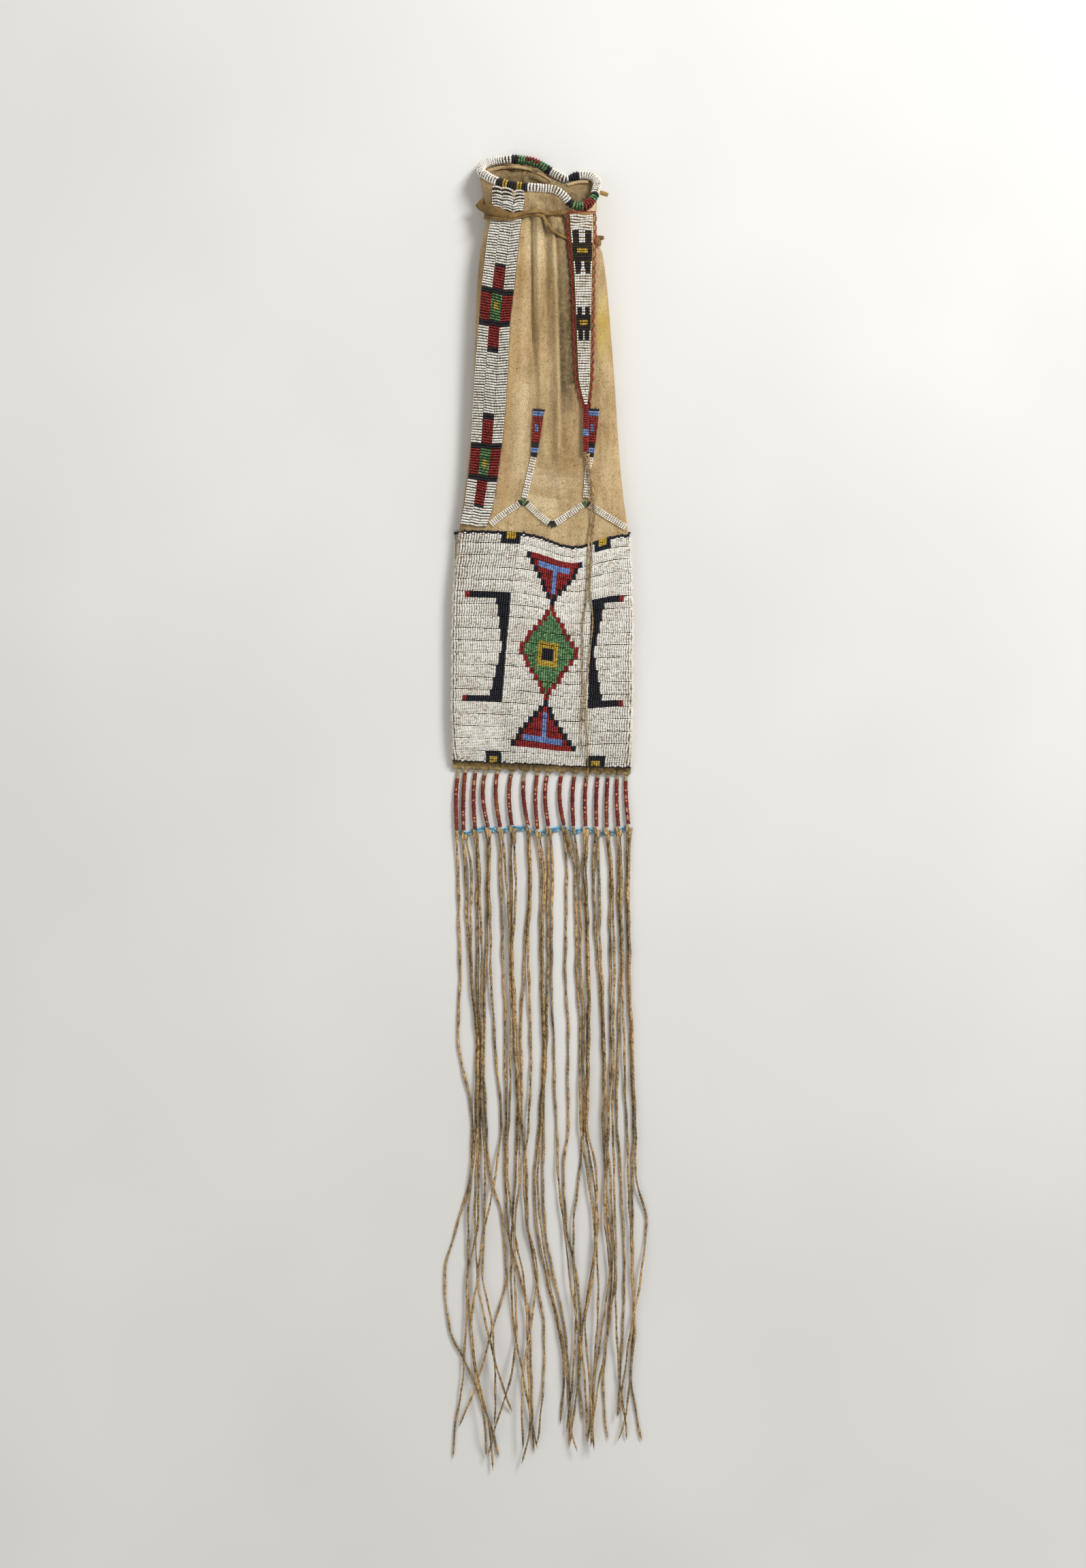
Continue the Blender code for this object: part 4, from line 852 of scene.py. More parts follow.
def makeHide():
    top = levels[-1]
    outer, inner = (np.concatenate([np.arange(*row) for row in bag[name]])
                    for name in ("outerRings", "innerRings"))
    outer = [hideRing(t, 0.0) for t in (*outer, top)]
    lipRing = hideRing(top, bag["hide"] / 2)
    lipRing[:, 1] += bag["lip"]
    inner = [hideRing(t, bag["hide"]) for t in (top, *inner, bag["innerEnd"])]
    hide = skin("hidePouch", outer + [lipRing] + inner, hideSuede)
    # the stains, painted light, painted shade and wrinkles lie on the front alone, apart from the painted
    # shade inside the mouth
    spots = spotsOf(hide)
    facing = np.clip((np.array([v.normal.z for v in hide.data.vertices]) + 0.2) * 3, 0, 1)
    inside = np.clip((spots[:, 1] - 372) / 8, 0, 1) * np.clip((20 - spots[:, 2]) / 3, 0, 1) * bag["mouthShade"]
    for name in ("soil", "gold", "shade", "pale", "wrinkle"):
        value = softStretches(spots[:, 0], spots[:, 1], bag[name])
        if name == "soil":
            value = np.maximum(value, inside)
        paintLayer(hide.data, name, value * facing)
    place(hide, ["hide_front", "hide_back"])
    print("hide pouch:", len(hide.data.polygons), "faces")
    return hide, lipRing


hidePouch, lipRing = makeHide()

# smooth front surface that the beadwork follows: x and z at even steps along it and across it
fieldStep = 1.4
fieldColumns = 136
fieldLevels = np.arange(levels[0], levels[-1] + 0.1, fieldStep)
fieldRows = [halfSection(shape, True, fieldColumns) for shape in shapeAt(fieldLevels)]
fieldX, fieldZ = np.array(fieldRows).swapaxes(0, 1)


def sampleField(u, t):
    i = np.clip(u * (fieldColumns / frontUnits), 0, fieldColumns - 0.001)
    j = np.clip((t - fieldLevels[0]) / fieldStep, 0, len(fieldLevels) - 1.001)
    i0, j0 = i.astype(int), j.astype(int)
    fi, fj = i - i0, j - j0
    out = []
    for grid in (fieldX, fieldZ):
        low = grid[j0, i0] * (1 - fi) + grid[j0, i0 + 1] * fi
        high = grid[j0 + 1, i0] * (1 - fi) + grid[j0 + 1, i0 + 1] * fi
        out.append(low * (1 - fj) + high * fj)
    return out


def onFront(u, y):
    # point of the smooth front
    u, y = np.broadcast_arrays(np.asarray(u, float), np.asarray(y, float))
    t = y
    for _ in range(4):
        x, z = sampleField(u, t)
        tilt = bag["bottomSlope"] * x * np.clip((-85 - t) / 15, 0, 1)
        t = np.clip(y - tilt, fieldLevels[0] - 5, fieldLevels[-1])
    x, z = sampleField(u, t)
    return np.stack([x, y, z], axis=-1)


def frontFrame(u, y):
    # point, direction across, direction along and outward normal
    spot = onFront(u, y)
    across = unit(onFront(np.clip(u + 0.3, 0, frontUnits), y) - onFront(np.clip(u - 0.3, 0, frontUnits), y))
    along = unit(onFront(u, y + 2) - onFront(u, y - 2))
    return spot, across, along, unit(np.cross(across, along))

# front and back panels

panel = {
    "lanes": 19, "columns": 82, "beads": 8,
    "across": 2.0, "crest": 2.05, "groove": 1.2, "round": 0.7, "beadHigh": 1.9, "uneven": 0.8,
    "topY": 98.4, "topSlope": -0.019, "bottomY": -107.2, "bottomSlope": -0.038,
    "sagDepth": 12.0, "sagX": 27.0, "sagWidth": 30.0, "sagLanes": 7.6,
    # the middle lanes hang a little too: depth, place and half width
    "hang": (4.2, 24.0, 28.0),
    # place along the bag, left side, right side
    "edges": [(100, -73.3, 77.8), (85, -74.7, 78.5), (75, -75.9, 79.0), (64, -77.5, 80.0), (53, -78.4, 80.1),
              (42, -79.3, 80.2), (20, -79.8, 81.0), (10, -80.4, 81.2), (-12, -80.2, 80.4), (-44, -80.7, 81.1),
              (-55, -81.0, 80.7), (-76, -80.3, 80.1), (-98, -79.7, 79.5), (-110, -79.5, 79.2)],
    "lean": [(-78, 0), (-60, 8), (-40, 14), (-30, 16), (6, 12), (45, 6), (60, 4), (78, 0)],
    "motifX": 6.0, "leftBracket": -31.8, "rightBracket": 43.5, "squares": (-38.7, 53.7),
    "backTop": 99.7, "backPitch": 10.74, "backLeft": -78.0, "backRight": 78.5, "backColumns": 78,
    # how unevenly columns of a lane and single beads lie, and how far a row leans for a unit across
    "stitch": 0.16, "jitter": 0.07, "leanUnit": 4.85, "bulge": 1.2, "arch": -0.7,
    # how far the beads and their backing keep from the sides, and how deep the backing lies
    "beadInset": 1.2, "backingInset": 1.9, "backingDeep": 0.62,
}


def panelY(p, x):
    # place along the bag of a row of beads, p lanes down from the top
    straight = panel["topY"] + panel["topSlope"] * x
    bottom = panel["bottomY"] + panel["bottomSlope"] * x
    dip = panel["sagDepth"] * np.exp(-((x - panel["sagX"]) / panel["sagWidth"]) ** 2)
    depth, middle, half = panel["hang"]
    inside = np.clip(p / 5, 0, 1) * np.clip((panel["lanes"] - p) / 2, 0, 1)
    hang = depth * np.exp(-((x - middle) / half) ** 2) * inside
    sag = dip * np.clip(1 - p / panel["sagLanes"], 0, 1)
    return straight + (bottom - straight) * p / panel["lanes"] - sag - hang


def fitEdges(spots, inset):
    # stretches rows of points across the panel so that its sides follow the table of edges
    left, right = spots[:, :1], spots[:, -1:]
    wantLeft = interp(left[..., 1], panel["edges"]) + inset
    wantRight = interp(right[..., 1], panel["edges"], 2) - inset
    share = (spots[..., 0] - left[..., 0]) / (right[..., 0] - left[..., 0])
    spots[..., 0] = wantLeft + share * (wantRight - wantLeft)
    return spots


def panelBeads(columns):
    # column, lane and row of every bead of a panel
    counts = (np.arange(count) for count in (columns, panel["lanes"], panel["beads"]))
    return (grid.ravel() for grid in np.meshgrid(*counts, indexing="ij"))

def panelColour(lane, row, x0):
    # the design, drawn by half lanes from the top and by columns from each figure's own middle
    half = lane * 2 + (row >= 4)
    q = np.abs((x0 - panel["motifX"]) / 2.0)
    colour = np.zeros(lane.shape, int)

    def paint(where, value):
        colour[where] = value

    r = half - 3
    reach = 13.5 - 1.8 * r
    field = (r >= 0) & (r <= 6) & (q < reach)
    paint(field, red)
    paint(field & (q >= reach - 2), navy)
    paint(field & (r == 1) & (q <= reach - 4), blue)
    paint(field & (r >= 2) & (r <= 5) & (q < 1), blue)
    paint(((half == 10) | (half == 27)) & (q < 1), navy)
    paint(((half == 11) | (half == 26)) & (q < 1), red)
    r = half - 12
    reach = 2.4 + 1.75 * np.minimum(r, 13 - r)
    field = (r >= 0) & (r <= 13) & (q < reach)
    paint(field, green)
    paint(field & (q >= reach - 2), red)
    bead = lane * panel["beads"] + row
    paint((bead >= 70) & (bead < 86) & (q < 4.7), yellow)
    paint((bead >= 74) & (bead < 82) & (q < 2.6), navy)
    r = half - 28
    reach = 2.85 + 1.9 * r
    field = (r >= 0) & (r <= 6) & (q < reach)
    paint(field, red)
    paint(field & (q >= reach - 2), navy)
    paint(field & (r >= 1) & (r <= 5) & (q < 1), blue)
    paint(field & (r == 5) & (q <= reach - 4), blue)
    for side, edge, arm in ((-1, panel["leftBracket"], 17), (1, panel["rightBracket"], 13)):
        e = (x0 - edge) * side / 2.0
        steps = (half >= 11) & (half <= 26) & (e >= 0) & (e < 2 + np.abs(lane - 9))
        paint(steps, navy)
        arms = ((half == 10) | (half == 27)) & (e >= 0)
        paint(arms & (e < arm), navy)
        paint(arms & (e >= arm) & (e < arm + 2), red)
    for middle in panel["squares"]:
        e = np.abs(x0 - middle) / 2.0
        for block, rows in ((lane == 0, row <= 4), (lane == panel["lanes"] - 1, (row >= 3) & (row <= 6))):
            paint(block & (e < 4), navy)
            paint(block & (e < 2) & rows, yellow)
    paint((lane == 0) & (row < 2), navy)
    paint((lane == panel["lanes"] - 1) & (row > 6), navy)
    for middle in panel["squares"]:
        e = np.abs(x0 - middle) / 2.0
        paint((lane == 0) & (row < 2) & (e < 2), yellow)
    return colour


def makeFrontPanel():
    lanes, columns, beads = panel["lanes"], panel["columns"], panel["beads"]
    column, lane, row = panelBeads(columns)
    u0 = (column + 0.5) / columns * frontUnits
    x0 = onFront(u0, np.zeros(len(u0)))[:, 0]
    stitch = rng.normal(0, panel["stitch"], (columns, lanes))[column, lane]
    wave = 0.25 * np.sin(column / 5.3 + lane * 1.7) + stitch
    # the dark first and last rows stand unevenly
    uneven = rng.normal(0, panel["uneven"], columns)[column]
    wave = wave + np.where(((lane == 0) & (row < 3)) | ((lane == lanes - 1) & (row > 4)), uneven, 0)
    inLane = (row + 0.5) / beads
    p = lane + 0.025 + 0.95 * inLane
    shift = -interp(x0, panel["lean"]) * (p - 9.5) / lanes
    u = np.clip(u0 + shift / panel["leanUnit"], 0.15, frontUnits - 0.15)
    spot, across, along, up = frontFrame(u, panelY(p, x0 + shift))
    crown = np.sin(math.pi * np.clip(inLane, 0.04, 0.96)) ** panel["round"]
    high = panel["crest"] - panel["groove"] * (1 - crown)
    centres = spot + up * high[:, None] + along * (wave * 0.5)[:, None]
    rows = centres.reshape(columns, lanes * beads, 3).swapaxes(0, 1)
    centres = fitEdges(rows, panel["beadInset"]).swapaxes(0, 1).reshape(-1, 3)
    # each lane bulges out at the sides
    last = columns - 1
    outward = (column == last) + 0.5 * (column == last - 1) - (column == 0) - 0.5 * (column == 1)
    centres[:, 0] += panel["bulge"] * (crown - 0.55) * outward
    centres += across * rng.normal(0, panel["jitter"], len(u))[:, None]
    # beads of a lane lean with its arch
    arch = (inLane - 0.5) * panel["arch"]
    through = unit(along * np.cos(arch)[:, None] + up * np.sin(-arch)[:, None])
    up = unit(np.cross(across, through))
    colour = panelColour(lane, row, x0)
    pitch = (panel["topY"] - panel["bottomY"]) / lanes / beads
    sizes = (panel["across"] * 1.04, pitch * 0.98, panel["beadHigh"])
    for name, part in (("frontBeadsUpper", lane < 10), ("frontBeadsLower", lane >= 10)):
        obj = stampBeads(name, centres[part], across[part], through[part], up[part], sizes, colour[part])
        place(obj, "front_panel")
    # backing between the beads, dark as painted shade in the gaps, arched with the lanes
    us, ps = np.linspace(0.2, frontUnits - 0.2, 70), np.linspace(0.03, lanes - 0.03, lanes * 4 + 1)
    gu, gp = np.meshgrid(us, ps)
    gx = onFront(gu, np.zeros_like(gu))[..., 0]
    spot, across, along, up = frontFrame(gu, panelY(gp, gx))
    crown = np.abs(np.sin(math.pi * gp)) ** panel["round"]
    high = panel["crest"] - panel["backingDeep"] - panel["groove"] * (1 - crown)
    spots = fitEdges(spot + up * high[..., None], panel["backingInset"])
    backing = finishMesh("frontBacking", gridMesh(spots[::-1]), sinewAndShadeBacking)
    place(backing, "front_panel")
    print("front panel:", len(u), "beads")
    return backing


frontBacking = makeFrontPanel()


def makeBackPanel():
    lanes, beads, columns = panel["lanes"], panel["beads"], panel["backColumns"]
    column, lane, row = panelBeads(columns)
    x = panel["backLeft"] + (column + 0.5) / columns * (panel["backRight"] - panel["backLeft"])
    inLane = (row + 0.5) / beads
    p = lane + 0.045 + 0.91 * inLane
    y = panel["backTop"] - panel["backPitch"] * p + panel["bottomSlope"] * x * p / lanes
    crown = np.sin(math.pi * np.clip(inLane, 0.04, 0.96)) ** 0.55
    z = panel["beadHigh"] / 2 + panel["groove"] * 0.8 * (1 - crown)
    y = y + rng.normal(0, 0.1, (columns, lanes))[column, lane]
    across, through, up = (np.tile(v, (len(x), 1)) for v in ((-1, 0, 0), (0, 1, 0), (0, 0, 1)))
    sizes = (panel["across"], panel["backPitch"] / beads * 0.98, panel["beadHigh"])
    obj = stampBeads("backBeads", np.stack([x, y, z], axis=1), across, through, up, sizes,
                     panelColour(lane, row, -x * 0.98), template=squareBead)
    place(obj, "back_panel")
    print("back panel:", len(x), "beads")


makeBackPanel()


# side strip

strip = {
    "lanes": 3, "beads": 7, "pitch": 2.34, "seat": 0.8, "thick": 1.9,
    "edges": [(103.5, -71.7, -48.9), (120.3, -68.3, -43.5), (144.9, -65.1, -39.3), (175.5, -62.6, -35.1),
              (206.1, -61.2, -32.1), (236.0, -59.2, -30.2), (267.3, -56.7, -28.7), (281.7, -55.5, -28.2),
              (303.3, -54.0, -25.5), (327.3, -51.3, -22.9), (351.3, -48.6, -20.4), (369.3, -45.6, -18.3),
              (381.0, -44.4, -16.8), (391.0, -43.8, -15.2), (396.0, -43.8, -15.4), (402.0, -43.2, -17.2)],
    "lowRow": 104.6, "topRow": 398.6, "neck": 379.0, "neckArch": 0.9, "neckLoose": 0.35,
    # how much more each lane's rows tilt, low and high on the bag
    "laneTilt": [(-0.05, -0.10), (-0.12, -0.12), (0.08, 0.20)],
    # tilt of the rows against the place along the bag
    "tilt": [(100, -0.10), (120, -0.12), (145, -0.13), (174, -0.06), (205, -0.04), (255, -0.05), (279, -0.11),
             (309, -0.2), (334, -0.08), (374, -0.05), (378, -0.08), (391, -0.14), (400, -0.19)],
    # each figure: place of its upper end, then the lengths of cap, column, bar, block, bar, column, cap
    "figures": [(333.9, (4.2, 17.2, 5.6, 22.4, 5.2, 20.0, 4.4)),
                (201.9, (5.0, 20.4, 5.6, 23.2, 5.4, 19.6, 3.8))],
    "parts": ("cap", "column", "bar", "block", "bar", "column", "cap"),
    # reach of a block's yellow heart, place where the strip starts to crumple, and its backing's lowest row
    "beadSize": (1.78, 1.30, 1.9), "heart": 3.6, "crumple": 374, "backingLow": 103.8,
}


def stripColour(lane, bead, y):
    middle = lane == 1
    for top, lengths in strip["figures"]:
        down = top - y
        if down < 0:
            continue
        for length, kind in zip(lengths, strip["parts"]):
            if down < length:
                if kind == "block":
                    heart = abs(down - length / 2) < strip["heart"] and 2 <= bead <= 4
                    return (yellow if heart else green) if middle else red
                if kind == "bar":
                    return navy
                return (navy if kind == "cap" else red) if middle else white
            down -= length
    return white


def seatedAt(u, y, want, height):
    # moves along the front until a point that stands off it by a height lies at the wanted x
    for _ in range(4):
        spot, across, along, up = frontFrame(u, y)
        rate = (onFront(u + 0.3, y)[..., 0] - onFront(u - 0.3, y)[..., 0]) / 0.6
        u = np.clip(u - (spot[..., 0] + up[..., 0] * height - want) / np.maximum(rate, 0.8), 0.2, 33.0)
    return u


def makeStrip():
    perLane, thirds = strip["beads"], strip["lanes"]
    rows = []
    y = strip["lowRow"]
    while y < strip["topRow"]:
        rows.append(y)
        # the last rows below the roll stand further apart
        y += strip["pitch"] * (1.0 if y < strip["neck"] else 0.94 if y < strip["topRow"] - 8 else 1.35)
    centres, colours = [], []
    for y in rows:
        left, right = sidesAt(y, strip["edges"])
        tilt = interp(y, strip["tilt"])
        inNeck = y > strip["neck"]
        loose = 1.0 if inNeck else strip["neckLoose"]
        for lane in range(thirds):
            sway = rng.normal(0, 0.12) * loose * 2
            more = np.interp(y, (220, 290), strip["laneTilt"][lane])
            laneTilt = tilt + rng.normal(0, 0.02) * loose * 2 + more
            for bead in range(perLane):
                part = (bead + 0.5) / perLane
                share = (lane + 0.01 + 0.98 * (bead + 0.5) / perLane) / thirds
                off = (share - 0.5) * (right - left)
                inLane = (part - 0.5) * (right - left) / 3
                arch = strip["neckArch"] * (1 - (2 * part - 1) ** 2) if inNeck else 0.0
                crown = math.sin(math.pi * min(max(part, 0.06), 0.94)) ** 0.5
                height = strip["seat"] + strip["thick"] - 0.95 - 0.55 * (1 - crown)
                centres.append((left + (right - left) * share,
                                y + tilt * (off - inLane) + laneTilt * inLane + sway + arch, height))
                colours.append(stripColour(lane, bead, y))
    x, y, height = np.array(centres).T
    u = seatedAt(np.full(len(x), 5.0), y, x, height)
    spot, across, along, up = frontFrame(u, y)
    crumple = np.clip((y - strip["crumple"]) / 8, 0, 1) * 0.6 * np.sin(y * 0.9 + u * 1.5)
    where = spot + up * (height + np.clip(crumple, -0.3, 0.6))[:, None]
    through = unit(across + along * interp(y, strip["tilt"])[:, None])
    obj = stampBeads("stripBeads", where, np.cross(up, through), through, up, strip["beadSize"], colours)
    place(obj, "side_strip")
    # the backing under the strip is dark as painted shade between the beads
    ys = np.linspace(strip["backingLow"], strip["topRow"], 130)
    shares = np.linspace(0.0, 1.0, 13)
    left, right = sidesAt(ys, strip["edges"])
    gx = left[:, None] + (right - left)[:, None] * shares
    gy = ys[:, None] + (shares[None] - 0.5) * 24 * interp(ys, strip["tilt"])[:, None]
    gu = seatedAt(np.full(gx.shape, 5.0), gy, gx, strip["seat"])
    spot, across, along, up = frontFrame(gu, gy)
    crown = np.abs(np.sin(math.pi * 3 * shares)) ** 0.5
    spots = spot + up * (strip["seat"] + 0.35 - 0.35 * (1 - crown))[None, :, None]
    backing = finishMesh("stripBacking", gridMesh(spots), sinewAndShadeBacking)
    place(backing, "side_strip")
    print("side strip:", len(rows), "rows")
    return obj


stripBeads = makeStrip()


# beaded roll round the mouth

rim = {
    "diameter": 7.8, "pitch": 2.5, "around": 14, "beadSize": (1.92, 1.44, 1.6),
    # how far the middles of the beads and the core's skin lie under the roll's surface
    "beadDeep": 0.72, "coreDeep": 1.25,
    # colours against x: on the back from the left corner, on the front likewise
    "back": [(-100, white), (-26.4, navy), (-23.1, green), (4.2, navy), (8.4, white), (22.2, navy),
             (32.7, white)],
    "front": [(-100, white), (-39.3, navy), (-33.9, yellow), (-29.1, navy), (-23.1, yellow), (-17.1, navy),
              (-12.9, white), (22.5, navy), (26.4, green), (35.4, red), (46.5, green)],
    # the right corner's colours change past this x, at these places along the bag
    "corner": 44.0, "cornerGreen": 392.5, "cornerNavy": 395.5,
    # the outer half of the back is red over this stretch, and the roll thins where its two ends meet
    "redOuter": (-14.7, -3.3), "thin": (24.0, 2.6, 0.45),
}


def rimColour(x, y, onBack, outward):
    if not onBack and x > rim["corner"]:
        return green if y < rim["cornerGreen"] else navy if y < rim["cornerNavy"] else white
    if onBack and rim["redOuter"][0] < x < rim["redOuter"][1] and outward > -0.1:
        return red
    return [colour for start, colour in rim["back" if onBack else "front"] if x >= start][-1]


def makeRim():
    radius = rim["diameter"] / 2
    ahead = unit(np.roll(lipRing, -2, axis=0) - np.roll(lipRing, 2, axis=0))
    out = unit(np.array([0, 1.0, 0]) - ahead * ahead[:, 1:2])
    line = lipRing + out * (radius + 0.5)
    # a light smoothing keeps the roll even
    for _ in range(6):
        line = line * 0.5 + (np.roll(line, 1, axis=0) + np.roll(line, -1, axis=0)) * 0.25
    path = evenly(line, rim["pitch"], closed=True)[0]
    count = len(path)
    ahead = unit(np.roll(path, -1, axis=0) - np.roll(path, 1, axis=0))
    side = unit(np.cross(ahead, (0, 1.0, 0)))
    up = np.cross(side, ahead)
    centres, through, ups, colours = [], [], [], []
    thinX, thinHalf, thinBy = rim["thin"]
    behind = np.arange(count) > int(np.argmax(path[:, 0]))
    slim = np.where(behind, 1 - thinBy * np.exp(-((path[:, 0] - thinX) / thinHalf) ** 2), 1.0)
    for i in range(count):
        twist = 0.25 * math.sin(i * 0.7)
        r = (radius - rim["beadDeep"]) * slim[i] + rng.normal(0, 0.08)
        for k in range(rim["around"]):
            a = 2 * math.pi * (k + twist) / rim["around"]
            radial = side[i] * math.cos(a) + up[i] * math.sin(a)
            centres.append(path[i] + radial * r + ahead[i] * rng.normal(0, 0.05))
            ups.append(radial)
            through.append(np.cross(radial, ahead[i]))
            colours.append(rimColour(path[i, 0], path[i, 1], behind[i], radial[1]))
    across = np.repeat(ahead, rim["around"], axis=0)
    obj = stampBeads("rimBeads", centres, across, through, ups, rim["beadSize"], colours)
    place(obj, "rim_beading")
    # the core under the beads is dark as painted shade between them
    thick = (radius - rim["coreDeep"]) * slim[:, None]
    rings = np.stack([path + (side * c + up * s) * thick for c, s in circle(8)], axis=1)
    rings = np.concatenate([rings, rings[:1]])
    bm = gridMesh(np.concatenate([rings, rings[:, :1]], axis=1))
    joinSeams(bm)
    bmesh.ops.recalc_face_normals(bm, faces=bm.faces[:])
    place(finishMesh("rimCore", bm, sinewAndShadeBacking), "rim_beading")
    print("mouth roll:", count, "wraps")


makeRim()


# beaded line work on the front

bars = {
    "pitch": 2.3,
    # x, y and half width along each bar and the line below it
    "leftBar": [(-2.7, 204.9, 5.4), (-5.1, 184.0, 4.2), (-7.2, 163.9, 3.0)],
    "leftLine": [(-7.4, 163.0, 2.7), (-10.2, 151.0, 2.7), (-15.4, 128.6, 2.7)],
    "rightBar": [(45.3, 205.5, 5.4), (44.2, 184.0, 4.2), (42.6, 163.9, 3.0)],
    "rightLine": [(42.4, 163.0, 2.7), (40.4, 151.0, 2.7), (38.7, 128.8, 2.7)],
    # rows of a bar from its top, m has a blue middle
    "rows": "nbbrrrmmmrrrrnnbbnn",
    "zigzag": [(-44.6, 105.2), (-33.5, 114.0), (-17.4, 124.6), (-15.2, 124.6), (-3.4, 113.4), (6.5, 105.6),
               (9.3, 104.4), (12.2, 105.8), (24.0, 113.5), (36.4, 122.2), (38.7, 123.4), (41.6, 121.9),
               (57.6, 111.6), (73.0, 102.6)],
    "knots": [((-16.3, 124.2), 3.4, green), ((9.3, 104.6), 2.6, navy), ((38.7, 123.0), 3.4, green)],
    "knotHeart": 1.9, "lift": 0.95, "wide": 1.38, "high": 1.85, "zigzagHalf": 2.9, "zigzagPitch": 2.1,
}


def laidRows(name, node, line, pitch, pickColour):
    # rows of beads sewn across a line laid on the front
    path = evenly(np.array(line, float), pitch)[0]
    ahead = unit(np.gradient(path[:, :2], axis=0))
    wide = bars["wide"]
    centres, across, through, colours = [], [], [], []
    for i, (x, y, half) in enumerate(path):
        side = np.array([ahead[i, 1], -ahead[i, 0]])
        if side[0] < 0:
            side = -side
        count = max(3, int(round(2 * half / wide)))
        for k in range(count):
            s = (k + 0.5) / count * 2 - 1
            spot = np.array([x, y]) + side * half * s
            z = topOf(hideTree, *spot)
            tilt = rng.normal(0, 0.04)
            centres.append((spot[0], spot[1] + tilt, z + bars["lift"] * (1.15 - 0.25 * s * s)))
            across.append((ahead[i, 0], ahead[i, 1], 0))
            through.append((side[0], side[1], 0))
            colours.append(pickColour(i, k, count, x, y))
    up = np.cross(across, through)
    up = up * np.sign(up[:, 2:3])
    sizes = (pitch * 0.92, wide * 0.97, bars["high"])
    obj = stampBeads(name, centres, np.cross(through, up), through, up, sizes, colours)
    return place(obj, node)


def barColour(i, k, count, x, y):
    kind = bars["rows"][min(i, len(bars["rows"]) - 1)]
    if kind == "m":
        return blue if count // 2 - 1 <= k <= count // 2 else red
    return {"n": navy, "b": blue, "r": red}[kind]


def lineColour(i, k, count, x, y):
    for (kx, ky), reach, colour in bars["knots"]:
        d = math.hypot(x - kx, y - ky)
        if d < reach:
            return navy if colour == green and d >= bars["knotHeart"] else colour
    return white


hideTree = treeOf(hidePouch)
barPieces = []
for name in ("left", "right"):
    for kind, pickColour, slotName in (("Bar", barColour, "red_beads"), ("Line", lineColour, "white_beads")):
        barPieces.append(laidRows(name + kind + "Beads", name + "_bar", bars[name + kind], bars["pitch"],
                                  pickColour))
zigzag = [(x, y, bars["zigzagHalf"]) for x, y in bars["zigzag"]]
barPieces.append(laidRows("zigzagBeads", "zigzag_line", zigzag, bars["zigzagPitch"], lineColour))
print("line work:", len(barPieces), "pieces")


# tie thong

ribbonArch = 0.35
# half of a ribbon's rounded section: aside and above, in half widths and half thicknesses
ribbonSection = [(-1, 0), (-0.9, 0.8), (-0.45, 1 + ribbonArch), (0, 1 + ribbonArch * 1.2),
                 (0.45, 1 + ribbonArch), (0.9, 0.8), (1, 0), (0.9, -0.8), (0.45, -1 + ribbonArch),
                 (0, -1 + ribbonArch * 1.2), (-0.45, -1 + ribbonArch), (-0.9, -0.8)]


def ribbon(name, node, points, material, thick):
    # flat thong through (x, y, z, width, twist) with rounded edges
    points = np.array(points, float)
    run = np.concatenate([[0], np.cumsum(np.linalg.norm(np.diff(points[:, :3], axis=0), axis=1))])
    rows = smoothThrough(run, points)(np.linspace(0, run[-1], max(6, int(run[-1] / 2.0))))
    width, twist = rows[:, 3], np.radians(rows[:, 4])
    section = [(s * width / 2, h * thick / 2) for s, h in ribbonSection]
    obj = skin(name, turnedRings(rows[:, :3], section, twist), material, run[-1], sharp=50)
    place(obj, node)


tie = {
    "thick": 1.2, "sideHeight": 17.0, "hemThick": 1.3, "hemLift": 0.9,
    # x, y, width, twist of each strand over the front, and how far it stands off what is under it
    "strands": {
        "under": (0.9, [(-50.5, 375.6, 4.6, 0), (-43.0, 374.2, 4.8, 4), (-36.0, 373.3, 4.6, -6),
                        (-27.0, 373.0, 4.2, 8), (-18.0, 375.0, 3.8, 0), (-10.0, 376.4, 3.4, -20),
                        (-3.0, 375.4, 3.2, -30), (3.0, 374.0, 2.6, -30)]),
        "wrap": (2.0, [(-56.0, 388.4, 8.2, 0), (-53.0, 385.8, 9.0, 0), (-48.0, 382.4, 9.2, -4),
                       (-42.0, 379.6, 8.4, -6), (-34.0, 377.0, 6.4, -8), (-26.5, 375.4, 4.8, 5),
                       (-20.0, 376.3, 4.2, 20), (-14.0, 378.0, 4.2, 40), (-6.3, 379.2, 4.4, 25),
                       (0.0, 378.4, 3.8, 60), (6.1, 377.2, 4.2, 20), (14.0, 377.9, 4.0, -10),
                       (21.7, 378.2, 4.4, 25), (28.0, 375.0, 3.6, 40)]),
        "loose": (1.4, [(0.6, 376.4, 3.0, 0), (1.9, 372.8, 3.4, 35), (5.6, 367.4, 3.4, 70),
                        (9.8, 361.9, 3.6, 20), (15.1, 358.4, 3.2, 55), (22.5, 355.9, 3.6, 10),
                        (33.0, 354.6, 3.8, 0), (43.5, 355.6, 4.2, 10), (49.5, 356.6, 5.2, -10),
                        (54.6, 357.4, 3.0, -20)]),
        "blob": (2.2, [(46.5, 356.0, 3.0, 0), (48.6, 353.8, 6.4, 30), (50.0, 351.4, 5.4, -20),
                       (50.6, 349.2, 2.4, 0)]),
        "stub": (0.4, [(47.5, 398.4, 3.4, 0), (51.3, 397.2, 3.8, 10), (55.0, 396.1, 3.9, -8),
                       (58.2, 395.0, 3.4, 5)]),
    },
}


def makeHems():
    # the hide's turned edge shows inside the back roll
    for name, rows in bag["hems"].items():
        points = [(x, y, topOf(hideTree, x, y) + tie["hemLift"], width, 0) for x, y, width in rows]
        ribbon("hem_" + name, "hide_back", points, hideSuede, tie["hemThick"])
    print("hems:", len(bag["hems"]))


makeHems()


